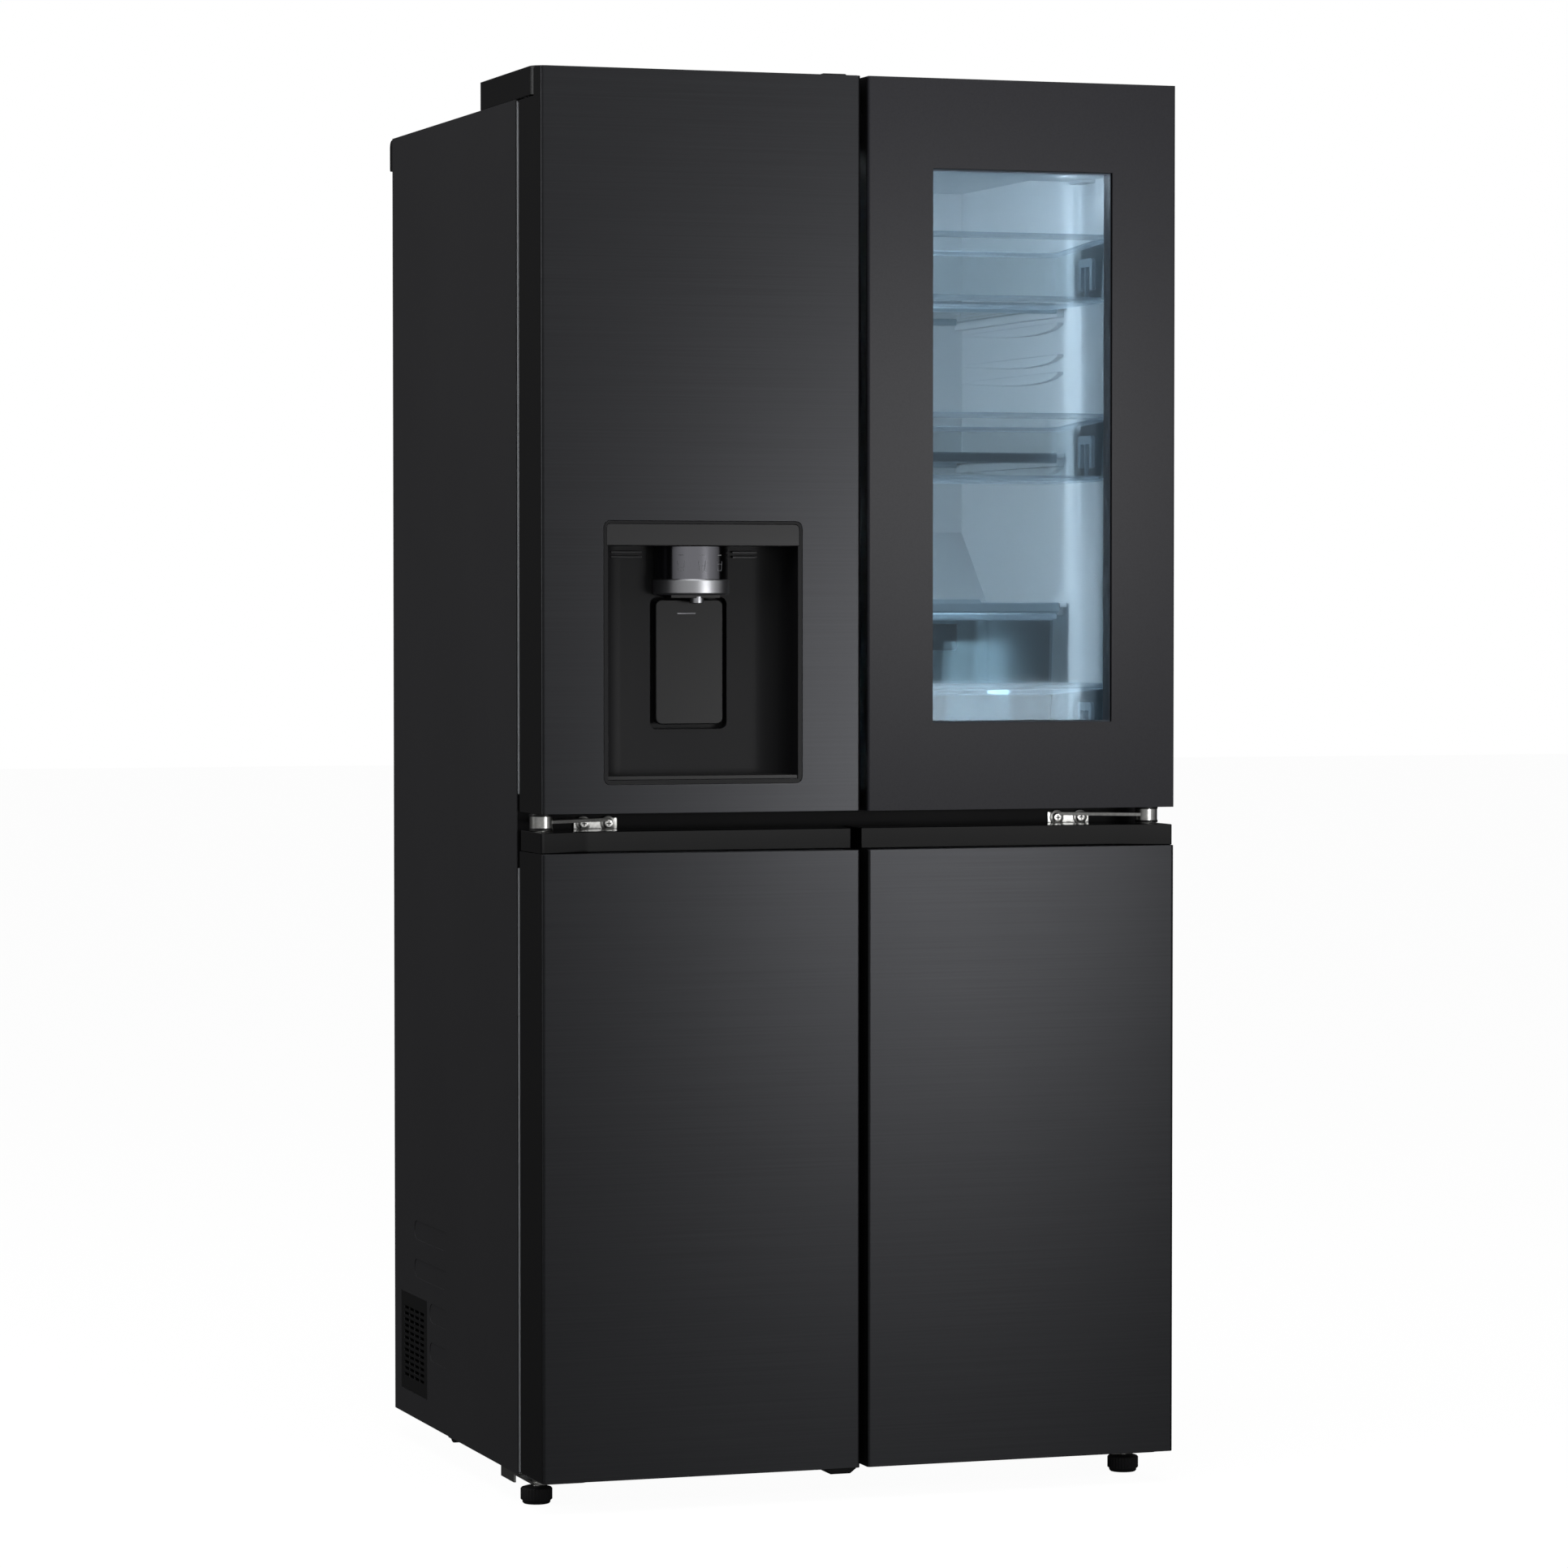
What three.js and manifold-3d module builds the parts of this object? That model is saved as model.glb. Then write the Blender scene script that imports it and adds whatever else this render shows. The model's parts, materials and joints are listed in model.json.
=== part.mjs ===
// A four-door refrigerator: two doors above, with a dispenser on the left one and a window in the
// right one, and two freezer doors below. Millimetres, +Z up, doors facing -Y, and the origin on the
// floor in the middle of the footprint.

import * as THREE from 'three';
import { mergeVertices } from 'three/addons/utils/BufferGeometryUtils.js';
import Module from 'manifold-3d';

const wasm = await Module();
wasm.setup();

// ---------------------------------------------------------------- driving dimensions

// Overall sizes
const width = 835;
const height = 1787;
const depth = 730;

// Cabinet
const baseHeight = 36;
const centreCapHeight = 45;
const spacerDepth = 16;
const spacerHeight = 43;
const spacerWidth = 30;
const sheet = 1.5;
const basePlate = 2;
const linerSheet = 2;
const sideWall = 48;
const topWall = 60;
const rearWall = 74;
const floorWall = 56;
const middleWall = 96;
const freezerDivider = 50;
const machineDepth = 220;
const machineHeight = 230;
const machineInsulation = 44;

// Doors
const doorThickness = 102;
const doorGap = 11;
const doorSplit = 9.6;
const doorEdgeRadius = 4;
const doorGround = 40.5;
const doorTopDrop = 13;
const freezerDoorTop = 813.5;
const doorBand = 48.5;
const doorBack = 2.2;
const pivotInset = 15;
const pivotDepth = 56;
const pinRadius = 6;
const pinReach = 28;

// Door seals and inner rims
const gasketWidth = 14;
const gasketInset = 12;
const gasketInnerInset = 8;
const rimWidth = 14;
const rimDepth = 48;
const freezerRimDepth = 38;
const rimCentre = 48;
const rimInset = 6;
const fridgeRimGap = 10;
const freezerRimGap = 8;

// Grip strips on the freezer doors, and the finger grooves
const gripHeight = 26;
const gripDepth = 30;
const gripEndDepth = 3;
const gripRun = 68;
const grooveFront = 8;
const grooveWidth = 21;
const grooveHeight = 22;

// Window of the right door
const windowSide = 86;
const windowTop = 112;
const windowBottom = 109;
const glassThickness = 4;
const glazingDepth = 30;
const glazingOverlap = 10;

// Dispenser of the left door
const dispenserCentre = 210;
const dispenserWidth = 256;
const dispenserHeight = 323;
const dispenserRise = 36;
const dispenserDepth = 84;
const dispenserRim = 5;
const cavityDepth = 62;
const paddleRecess = 18;
const paddleMargin = 6;
const cavityCurve = 36;
const panelHeight = 30;
const panelDepth = 10;
const chuteRadius = 46;
const chuteHeight = 60;
const chuteInset = 6;
const ringHeight = 19;
const paddleWidth = 88;
const paddleHeight = 156;
const paddleDrop = 5;
const paddleThickness = 6;
const paddleDepth = 58;

// Centre flap between the upper doors
const flapWidth = 33;
const flapThickness = 15;

// Inside the compartments
const shelfThickness = 5;
const shelfTrim = 14;
const upperShelfDrop = 172;
const binDepth = 198;
const binHeight = 86;
const lowerBinRise = 24;
const upperBinDrop = 75;
const middleBinShare = 0.645;
const iceRoomDepth = 97;
const crisperHeight = 220;
const ductDepth = 100;

// How far the fronts of shelves and drawers stay behind what hangs on the doors
const shelfFront = 19;
const crisperFront = 10;
const freezerFront = 12;
const drawerWall = 3;
const ledge = 10;
const shelfRearGap = 4;
const drawerTopGap = 24;

// Hinges, feet and rollers
const hingeCoverDrop = 9;
const hingeCoverWidth = 72;
const hingeCoverReach = 165;
const hingeCoverWall = 2;
const hingePlate = 4;
const hingeNotchFront = 8;
const hingeNotchSide = 12;
const footRadius = 22;
const footInset = 23.5;
const rollerRadius = 15;
const rollerWidth = 18;
const rollerInset = 62;
const rollerRear = 100;
const rollerBore = 4;

// Cord gland and water inlet of the machine cover
const glandRadius = 9;
const glandReach = 8;
const inletRadius = 7;
const inletReach = 12;
const connectionInset = 70;
const connectionRise = 60;
const connectionBore = 4;

// Side grille and stiffening ribs of the case
const grilleRear = 34;
const grilleWidth = 132;
const grilleBottom = 69;
const grilleHeight = 130;
const ribHeight = 25;
const ribPitch = 51;
const ribDepth = 0.8;

// Clearances
const fit = 0.3;
const running = 0.6;
const loose = 3;

// ---------------------------------------------------------------- places worked out from them

const outerX = width / 2;
const innerX = doorSplit / 2;
const front = -depth / 2;
const doorRear = front + doorThickness;
const cabinetFront = doorRear + doorGap;
const cabinetRear = depth / 2 - spacerDepth;
const cabinetTop = height - centreCapHeight;
const doorTop = height - doorTopDrop;
const fridgeDoorBottom = freezerDoorTop + doorBand;
const pivotX = outerX - pivotInset;
const pivotY = front + pivotDepth;
const gripTop = freezerDoorTop + fit + gripHeight;
const hingeLevel = (gripTop + fridgeDoorBottom) / 2;

const caseInnerX = outerX - sheet - fit;
const caseInnerTop = cabinetTop - sheet - fit;
const floorTop = baseHeight + basePlate;
const cavityX = outerX - sideWall;
const cavityRear = cabinetRear - rearWall;
const fridgeCeiling = cabinetTop - topWall;
const middleBottom = (freezerDoorTop + fridgeDoorBottom - middleWall) / 2;
const fridgeFloor = middleBottom + middleWall;
const freezerFloor = baseHeight + floorWall;
const machineFront = cabinetRear - machineDepth;
const machineTop = floorTop + machineHeight;
const freezerStepRear = machineFront - machineInsulation;
const freezerStepTop = machineTop + machineInsulation;
const railBottom = middleBottom + linerSheet + fit;
const railTop = fridgeFloor - linerSheet - fit;
const halfDivider = freezerDivider / 2;
const rollerY = cabinetRear - rollerRear;

const windowX = [innerX + windowSide, outerX - windowSide];
const windowZ = [fridgeDoorBottom + windowBottom, doorTop - windowTop];

const dispenserX = [-dispenserCentre - dispenserWidth / 2, -dispenserCentre + dispenserWidth / 2];
const dispenserZ = [fridgeDoorBottom + dispenserRise, fridgeDoorBottom + dispenserRise + dispenserHeight];
const cavityTop = dispenserZ[1] - panelHeight;
const chuteY = front + chuteInset + chuteRadius;
const paddleTop = cavityTop - chuteHeight - paddleDrop;

const rimOuter = cavityX - rimInset;
const fridgeRimZ = [fridgeFloor + fridgeRimGap, fridgeCeiling - fridgeRimGap];
const freezerRimZ = [freezerFloor + freezerRimGap, middleBottom - freezerRimGap];

const binFront = front + glazingDepth + loose;
const binRear = binFront + binDepth;
const iceRoomRear = doorRear + iceRoomDepth;
const clearOfDoors = Math.max(binRear, iceRoomRear);
const shelfFrontY = clearOfDoors + shelfFront;
const crisperFrontY = clearOfDoors + crisperFront;
const freezerFrontY = doorRear + freezerRimDepth + freezerFront;

const shelfRear = cavityRear - shelfRearGap;
const crisperTop = fridgeFloor + crisperHeight;
const crisperShelf = crisperTop + shelfTrim;
const upperShelf = fridgeCeiling - upperShelfDrop;
const middleShelf = (upperShelf + crisperShelf) / 2;
const ductTop = (middleShelf + crisperShelf) / 2;

// ---------------------------------------------------------------- solids

// A closed three.js geometry as a solid that can be cut and joined.
function solid(geometry) {
  const plain = geometry.clone();
  plain.deleteAttribute('normal');
  plain.deleteAttribute('uv');
  const merged = mergeVertices(plain, 1e-4);
  return new wasm.Manifold(new wasm.Mesh({
    numProp: 3,
    vertProperties: new Float32Array(merged.attributes.position.array),
    triVerts: new Uint32Array(merged.index.array),
  }));
}

function box([x0, x1], [y0, y1], [z0, z1]) {
  const geometry = new THREE.BoxGeometry(x1 - x0, y1 - y0, z1 - z0);
  return solid(geometry.translate((x0 + x1) / 2, (y0 + y1) / 2, (z0 + z1) / 2));
}

// The stretch from a to b measured outwards from the middle, on the left (-1) or right (+1) side.
function sideSpan(side, a, b) {
  return side < 0 ? [-b, -a] : [a, b];
}

// An outline of corners [a, b, radius], each rounded with an arc.
function roundedShape(corners, steps = 4) {
  const points = [];
  corners.forEach(([a, b, radius = 0], i) => {
    const corner = new THREE.Vector2(a, b);
    if (radius === 0) {
      points.push(corner);
      return;
    }
    const [pa, pb] = corners.at(i - 1);
    const [na, nb] = corners[(i + 1) % corners.length];
    const before = new THREE.Vector2(pa, pb).sub(corner).normalize();
    const after = new THREE.Vector2(na, nb).sub(corner).normalize();
    const half = Math.acos(before.dot(after)) / 2;
    const reach = radius / Math.tan(half);
    const centre = before.clone().add(after).normalize().multiplyScalar(radius / Math.sin(half)).add(corner);
    const start = before.multiplyScalar(reach).add(corner).sub(centre);
    const end = after.multiplyScalar(reach).add(corner).sub(centre);
    const turn = Math.sign(start.cross(end)) * (Math.PI - 2 * half);
    for (let step = 0; step <= steps; step += 1) {
      points.push(start.clone().rotateAround(new THREE.Vector2(), turn * step / steps).add(centre));
    }
  });
  return new THREE.Shape(points);
}

function roundedRectangle([a0, a1], [b0, b1], radius) {
  return roundedShape([[a0, b0, radius], [a1, b0, radius], [a1, b1, radius], [a0, b1, radius]]);
}

function extrude(shape, length) {
  return new THREE.ExtrudeGeometry(shape, { depth: length, bevelEnabled: false, steps: 1 });
}

// Plan outlines (X, Y) stand up along Z, side outlines (Y, Z) run along X, front outlines (X, Z) along Y.
function prismZ(shape, [z0, z1]) {
  return solid(extrude(shape, z1 - z0).translate(0, 0, z0));
}

function prismX(shape, [x0, x1]) {
  const turn = new THREE.Matrix4().makeBasis(
    new THREE.Vector3(0, 1, 0), new THREE.Vector3(0, 0, 1), new THREE.Vector3(1, 0, 0));
  return solid(extrude(shape, x1 - x0).applyMatrix4(turn).translate(x0, 0, 0));
}

function prismY(shape, [y0, y1]) {
  const turn = new THREE.Matrix4().makeBasis(
    new THREE.Vector3(1, 0, 0), new THREE.Vector3(0, 0, 1), new THREE.Vector3(0, -1, 0));
  return solid(extrude(shape, y1 - y0).applyMatrix4(turn).translate(0, y1, 0));
}

function cylinderZ(x, y, radius, [z0, z1], segments = 24) {
  const geometry = new THREE.CylinderGeometry(radius, radius, z1 - z0, segments).rotateX(Math.PI / 2);
  return solid(geometry.translate(x, y, (z0 + z1) / 2));
}

function cylinderX([x0, x1], y, z, radius, segments = 24) {
  const geometry = new THREE.CylinderGeometry(radius, radius, x1 - x0, segments).rotateZ(Math.PI / 2);
  return solid(geometry.translate((x0 + x1) / 2, y, z));
}

function cylinderY(x, [y0, y1], z, radius, segments = 16) {
  const geometry = new THREE.CylinderGeometry(radius, radius, y1 - y0, segments);
  return solid(geometry.translate(x, (y0 + y1) / 2, z));
}

// A turned piece: [radius, height] points from the axis round and back to it.
function turned(points, x, y, segments = 32) {
  const profile = points.map(([radius, z]) => new THREE.Vector2(radius, z));
  return solid(new THREE.LatheGeometry(profile, segments).rotateX(Math.PI / 2).translate(x, y, 0));
}

function join(first, ...rest) {
  return rest.reduce((whole, piece) => whole.add(piece), first);
}

function cut(first, ...rest) {
  return rest.reduce((whole, piece) => whole.subtract(piece), first);
}

// A rectangular ring: the frame between two rectangles in X and Z.
function frame(xs, zs, ys, bar) {
  const hole = box([xs[0] + bar, xs[1] - bar], [ys[0] - 1, ys[1] + 1], [zs[0] + bar, zs[1] - bar]);
  return cut(box(xs, ys, zs), hole);
}

// A tray with a floor and four walls, open on top.
function tray(xs, ys, zs, wall, frontWall) {
  const hollow = box(
    [xs[0] + wall, xs[1] - wall], [ys[0] + frontWall, ys[1] - wall], [zs[0] + wall, zs[1] + 1]);
  return cut(box(xs, ys, zs), hollow);
}

// ---------------------------------------------------------------- materials

function material(color, roughness, metalness, extra = {}) {
  return new THREE.MeshStandardMaterial({ color, roughness, metalness, ...extra });
}

const brushedSteel = material(0x3b3c40, 0.38, 0.9);
const caseSteel = material(0x2b2c2e, 0.5, 0.6);
const darkGlass = material(0x35343c, 0.08, 0.2, { transparent: true, opacity: 0.6 });
const clearGlass = material(0xbfd2d8, 0.05, 0, { transparent: true, opacity: 0.35 });
const blackPlastic = material(0x141416, 0.5, 0);
const glossBlack = material(0x18181b, 0.15, 0);
const liningPlastic = material(0xc9d2d8, 0.4, 0);
const zinc = material(0xb9bbbd, 0.3, 0.9);
const rubber = material(0x202022, 0.8, 0);
const foam = material(0xd8c58a, 0.9, 0);
const castBlack = material(0x101011, 0.6, 0.3);
const chrome = material(0xc8cacd, 0.12, 1);

const refrigerator = new THREE.Group();

function addPiece(name, piece, look) {
  const { vertProperties, triVerts } = piece.getMesh();
  const geometry = new THREE.BufferGeometry();
  geometry.setAttribute('position', new THREE.BufferAttribute(vertProperties, 3));
  geometry.setIndex(new THREE.BufferAttribute(triVerts, 1));
  geometry.computeVertexNormals();
  const mesh = new THREE.Mesh(geometry, look);
  mesh.name = name;
  refrigerator.add(mesh);
}

// ---------------------------------------------------------------- cabinet

// The freezer compartment of one side, grown outwards by a margin and open at the front.
function freezerSpace(side, grow) {
  const xs = sideSpan(side, halfDivider - grow, cavityX + grow);
  const above = box(xs, [cabinetFront - 1, cavityRear + grow], [freezerStepTop - grow, middleBottom + grow]);
  const below = box(xs, [cabinetFront - 1, freezerStepRear + grow], [freezerFloor - grow, middleBottom + grow]);
  return join(below, above);
}

function fridgeSpace(grow) {
  return box([-cavityX - grow, cavityX + grow], [cabinetFront - 1, cavityRear + grow],
    [fridgeFloor - grow, fridgeCeiling + grow]);
}

function foamBody() {
  const skin = linerSheet + fit;
  const block = box([-caseInnerX, caseInnerX], [cabinetFront + skin, cabinetRear - sheet - fit],
    [floorTop + fit, caseInnerTop]);
  const machine = box([-outerX, outerX], [machineFront, cabinetRear], [baseHeight, machineTop]);
  return cut(block, fridgeSpace(skin), freezerSpace(-1, skin), freezerSpace(1, skin), machine);
}

// The stiffening ribs pressed into the rear of the case's sides: two long ones above two short ones.
function ribs(side) {
  const ribFront = machineFront - 50;
  const longRear = cabinetRear - 103;
  const shortRear = cabinetRear - grilleRear - grilleWidth - 14;
  return [[longRear, 3], [longRear, 2], [shortRear, 1], [shortRear, 0]].map(([rear, row]) => {
    const low = grilleBottom + 54 + row * ribPitch;
    const outline = roundedRectangle([ribFront, rear], [low, low + ribHeight], ribHeight / 2 - 1);
    return prismX(outline, sideSpan(side, outerX - ribDepth, outerX + 1));
  });
}

const grilleY = [cabinetRear - grilleRear - grilleWidth, cabinetRear - grilleRear];
const grilleZ = [grilleBottom, grilleBottom + grilleHeight];

function outerCase() {
  const outside = box([-outerX, outerX], [cabinetFront, cabinetRear], [baseHeight, cabinetTop]);
  const inside = box([-outerX + sheet, outerX - sheet], [cabinetFront - 1, cabinetRear + 1],
    [baseHeight - 1, cabinetTop - sheet]);
  const grilleHole = box([-outerX - 1, -outerX + sheet + 1],
    [grilleY[0] - fit, grilleY[1] + fit], [grilleZ[0] - fit, grilleZ[1] + fit]);
  return cut(outside, inside, grilleHole, ...ribs(-1), ...ribs(1));
}

function sideGrille() {
  const columns = 4;
  const rows = 12;
  const border = [16, 18];
  const bar = 4;
  const cellY = (grilleWidth - 2 * border[0] + bar) / columns;
  const cellZ = (grilleHeight - 2 * border[1] + bar) / rows;
  const plate = box([-outerX + 0.1, -outerX + 3], grilleY, grilleZ);
  const holes = [];
  for (let column = 0; column < columns; column += 1) {
    for (let row = 0; row < rows; row += 1) {
      const y = grilleY[0] + border[0] + column * cellY;
      const z = grilleZ[0] + border[1] + row * cellZ;
      holes.push(box([-outerX - 1, -outerX + 5], [y, y + cellY - bar], [z, z + cellZ - bar]));
    }
  }
  return cut(plate, ...holes);
}

function backPanel() {
  return box([-caseInnerX, caseInnerX], [cabinetRear - sheet, cabinetRear],
    [machineTop + fit, cabinetTop - sheet - fit]);
}

function machineCover() {
  const zs = [floorTop + fit, machineTop - fit];
  const plate = box([-caseInnerX, caseInnerX], [cabinetRear - sheet, cabinetRear], zs);
  const slots = [];
  const slotPitch = 16;
  const slotHeight = 7;
  const slotMargin = 60;
  const coverMargin = 40;
  for (const side of [-1, 1]) {
    for (let z = zs[0] + coverMargin; z < zs[1] - coverMargin; z += slotPitch) {
      slots.push(box(sideSpan(side, slotMargin, cavityX - slotMargin), [cabinetRear - 5, cabinetRear + 5],
        [z, z + slotHeight]));
    }
  }
  const level = floorTop + connectionRise;
  const gland = stub(-caseInnerX + connectionInset, level, glandRadius, glandReach);
  const inlet = stub(caseInnerX - connectionInset, level, inletRadius, inletReach);
  return cut(join(plate, gland.body, inlet.body), ...slots, gland.bore, inlet.bore);
}

// A round stub that stands out of the machine cover on a wider flange, and the hole through it.
function stub(x, z, radius, reach) {
  const flange = cylinderY(x, [cabinetRear - sheet, cabinetRear + 2], z, radius + 4, 24);
  const neck = cylinderY(x, [cabinetRear - sheet, cabinetRear + reach], z, radius, 24);
  const bore = cylinderY(x, [cabinetRear - sheet - 1, cabinetRear + reach + 1], z, connectionBore, 16);
  return { body: join(flange, neck), bore };
}

function frontRail() {
  return box([-caseInnerX, caseInnerX], [cabinetFront, cabinetFront + linerSheet], [railBottom, railTop]);
}

// The ledges that carry a shelf or drawer along both walls of a compartment.
function ledges(xs, ys, top) {
  const zs = [top - ledge, top];
  return [box([xs[0] - 1, xs[0] + ledge], ys, zs), box([xs[1] - ledge, xs[1] + 1], ys, zs)];
}

const shelfLevels = [upperShelf, middleShelf, crisperShelf];
const upperDrawerFloor = (freezerFloor + middleBottom) / 2;

function fridgeLiner() {
  const shell = cut(fridgeSpace(linerSheet), box([-outerX, outerX],
    [cabinetFront - 2, cabinetFront], [fridgeFloor - 9, fridgeCeiling + 9]));
  const flange = box([-caseInnerX, caseInnerX], [cabinetFront, cabinetFront + linerSheet],
    [railTop + fit, caseInnerTop]);
  const carriers = shelfLevels.flatMap((level) => ledges([-cavityX, cavityX],
    [shelfFrontY + 10, cavityRear + 1], level - shelfThickness - fit));
  return join(cut(join(shell, flange), fridgeSpace(0)), airDuct(), ...carriers);
}

function freezerLiner() {
  const flange = box([-caseInnerX, caseInnerX], [cabinetFront, cabinetFront + linerSheet],
    [floorTop + fit, railBottom - fit]);
  const mouth = box([-outerX, outerX], [cabinetFront - 2, cabinetFront], [0, height]);
  const shells = join(freezerSpace(-1, linerSheet), freezerSpace(1, linerSheet));
  const carriers = [-1, 1].flatMap((side) => ledges(sideSpan(side, halfDivider, cavityX),
    [freezerFrontY + 10, cavityRear + 1], upperDrawerFloor - fit));
  return join(cut(join(cut(shells, mouth), flange), freezerSpace(-1, 0), freezerSpace(1, 0)), ...carriers);
}

function shelf(level, frontY, rearY) {
  const x = cavityX - loose;
  const trim = box([-x, x], [frontY, frontY + shelfTrim], [level - shelfTrim + 2, level + 2]);
  const cleared = ledges([-cavityX, cavityX], [frontY, frontY + shelfTrim + 8], level - shelfThickness - fit);
  return join(cut(trim, ...cleared), box([-x, x], [frontY + 4, rearY], [level - shelfThickness, level]));
}

// The air duct of the liner's rear wall leans forward over the crisper, then stands upright behind it.
function airDuct() {
  const rear = cavityRear + 1;
  const upright = cavityRear - ductDepth;
  const outline = roundedShape([[rear, fridgeFloor - 1], [rear, ductTop + 1], [cavityRear, ductTop],
    [upright, crisperShelf], [upright, fridgeFloor - 1]]);
  return prismX(outline, [-cavityX - 1, cavityX + 1]);
}

function crisperDrawer() {
  const x = cavityX - ledge - loose;
  return tray([-x, x], [crisperFrontY, cavityRear - ductDepth - loose],
    [fridgeFloor + fit, crisperTop], drawerWall, 10);
}

function freezerDrawer(side, lower) {
  const xs = sideSpan(side, halfDivider + loose, cavityX - loose);
  const zs = lower ? [freezerFloor + fit, upperDrawerFloor - drawerTopGap]
    : [upperDrawerFloor, middleBottom - drawerTopGap];
  const rear = (lower ? freezerStepRear : cavityRear) - loose;
  return tray(xs, [freezerFrontY, rear], zs, drawerWall, 8);
}

// A drum with a domed top on a mounting plate.
function compressor() {
  const x = outerX / 2;
  const y = (machineFront + cabinetRear) / 2;
  const plateTop = floorTop + 16;
  const z = plateTop - 2;
  const radius = 74;
  const wallHeight = 92;
  const domeHeight = 58;
  const shoulder = 16;
  const top = z + wallHeight + domeHeight;
  const can = turned([[0, z], [radius - shoulder, z], [radius, z + shoulder], [radius, z + wallHeight],
    [radius - 10, top - 28], [radius - 38, top - 8], [0, top]], x, y, 28);
  const foot = box([x - 95, x + 95], [y - 55, y + 55], [floorTop + fit, plateTop]);
  return join(foot, can);
}

function baseWithRollerForks() {
  const plate = box([-caseInnerX, caseInnerX], [cabinetFront, cabinetRear - fit], [baseHeight, floorTop]);
  const forks = [-1, 1].flatMap((side) => {
    const x = outerX - rollerInset;
    const y = rollerY;
    const ears = [x - rollerWidth / 2 - 4, x + rollerWidth / 2 + 1].map((low) => {
      const ear = roundedShape([[y - 16, baseHeight + 1], [y - 10, rollerRadius - 9, 5],
        [y + 10, rollerRadius - 9, 5], [y + 16, baseHeight + 1]]);
      return prismX(ear, sideSpan(side, low, low + 3));
    });
    const axle = cylinderX(sideSpan(side, x - rollerWidth / 2 - 2, x + rollerWidth / 2 + 2), y,
      rollerRadius, rollerBore - running, 16);
    return [...ears, axle];
  });
  return join(plate, ...forks);
}

function roller(side) {
  const x = outerX - rollerInset;
  const wheel = cylinderX(sideSpan(side, x - rollerWidth / 2, x + rollerWidth / 2), rollerY,
    rollerRadius, rollerRadius, 32);
  return cut(wheel, cylinderX(sideSpan(side, x - rollerWidth, x + rollerWidth), rollerY, rollerRadius,
    rollerBore, 16));
}

function rearSpacer(side) {
  const outline = roundedShape([[cabinetRear + fit, cabinetTop - spacerHeight],
    [cabinetRear + spacerDepth, cabinetTop - spacerHeight, 3],
    [cabinetRear + spacerDepth, cabinetTop - 1, 10], [cabinetRear + fit, cabinetTop - 1]]);
  return prismX(outline, sideSpan(side, outerX - spacerWidth, outerX - 0.5));
}

function topCentreCap() {
  const halfBase = 19;
  const halfTop = 16;
  const outline = roundedShape([[-halfBase, cabinetTop + fit], [halfBase, cabinetTop + fit],
    [halfTop, height, 2], [-halfTop, height, 2]]);
  return prismY(outline, [cabinetFront, cabinetFront + 60]);
}

function bottomCentreCap() {
  const halfBase = 21;
  const drop = 17;
  const outline = roundedShape([[-halfBase, baseHeight - fit], [-halfBase, baseHeight - drop + 6],
    [-halfBase + 8, baseHeight - drop], [halfBase - 8, baseHeight - drop],
    [halfBase, baseHeight - drop + 6], [halfBase, baseHeight - fit]]);
  return prismY(outline, [cabinetFront - 25, cabinetFront + 40]);
}

// ---------------------------------------------------------------- hinges and feet

// The cover's outline narrows to a round nose about the hinge pin, so the door turns under it.
function hingeCoverShape(side, wall) {
  const nose = pivotInset + 1 - wall;
  const outer = outerX - 1 - wall;
  const inner = outerX - hingeCoverWidth + wall;
  return roundedShape([[side * outer, cabinetFront + hingeCoverReach - wall],
    [side * outer, pivotY - nose, nose - 0.5], [side * inner, pivotY - nose, 8],
    [side * inner, cabinetFront + hingeCoverReach - wall]], 6);
}

const doorNotchFloor = cabinetTop - 2;
const hingeCoverBottom = cabinetTop + fit;
const hingePlateZ = [hingeCoverBottom + 1, hingeCoverBottom + 1 + hingePlate];

function hingeCover(side) {
  const top = height - hingeCoverDrop;
  const outside = prismZ(hingeCoverShape(side, 0), [hingeCoverBottom, top]);
  return cut(outside, prismZ(hingeCoverShape(side, hingeCoverWall), [hingeCoverBottom - 1, top - hingeCoverWall]));
}

function topHinge(side) {
  const inset = hingeCoverWall + running;
  const plate = prismZ(hingeCoverShape(side, inset), hingePlateZ);
  const pin = cylinderZ(side * pivotX, pivotY, pinRadius, [doorNotchFloor - pinReach, hingePlateZ[1]]);
  return join(plate, pin);
}

function middleHinge(side) {
  const plateNear = 58;
  const plateWidth = 56;
  const screwInset = 12;
  const stackRadius = 14;
  const plateX = [pivotX - plateNear - plateWidth, pivotX - plateNear];
  const armZ = [hingeLevel - hingePlate / 2, hingeLevel + hingePlate / 2];
  const face = box(sideSpan(side, ...plateX), [cabinetFront - fit - 3, cabinetFront - fit],
    [hingeLevel - 11, hingeLevel + 2]);
  const arm = prismZ(roundedShape([[side * (plateX[1] - 4), cabinetFront - fit],
    [side * (pivotX + 12), pivotY + 10, 10], [side * (pivotX + 2), pivotY - 13, 12],
    [side * (pivotX - 12), pivotY - 8, 10], [side * plateX[0], cabinetFront - fit]]), armZ);
  const stack = cylinderZ(side * pivotX, pivotY, stackRadius, [gripTop + running, fridgeDoorBottom - running]);
  const pin = cylinderZ(side * pivotX, pivotY, pinRadius,
    [freezerDoorTop - pinReach, fridgeDoorBottom + pinReach]);
  const screws = [plateX[0] + screwInset, plateX[1] - screwInset].map((x) => cylinderY(side * x,
    [cabinetFront - 7, cabinetFront - 2], hingeLevel - 5, 6, 12));
  return join(face, arm, stack, pin, ...screws);
}

const footX = outerX - footInset;
const footY = cabinetFront - 3;
const footStem = 5;
const bracketTop = baseHeight - fit;

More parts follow.
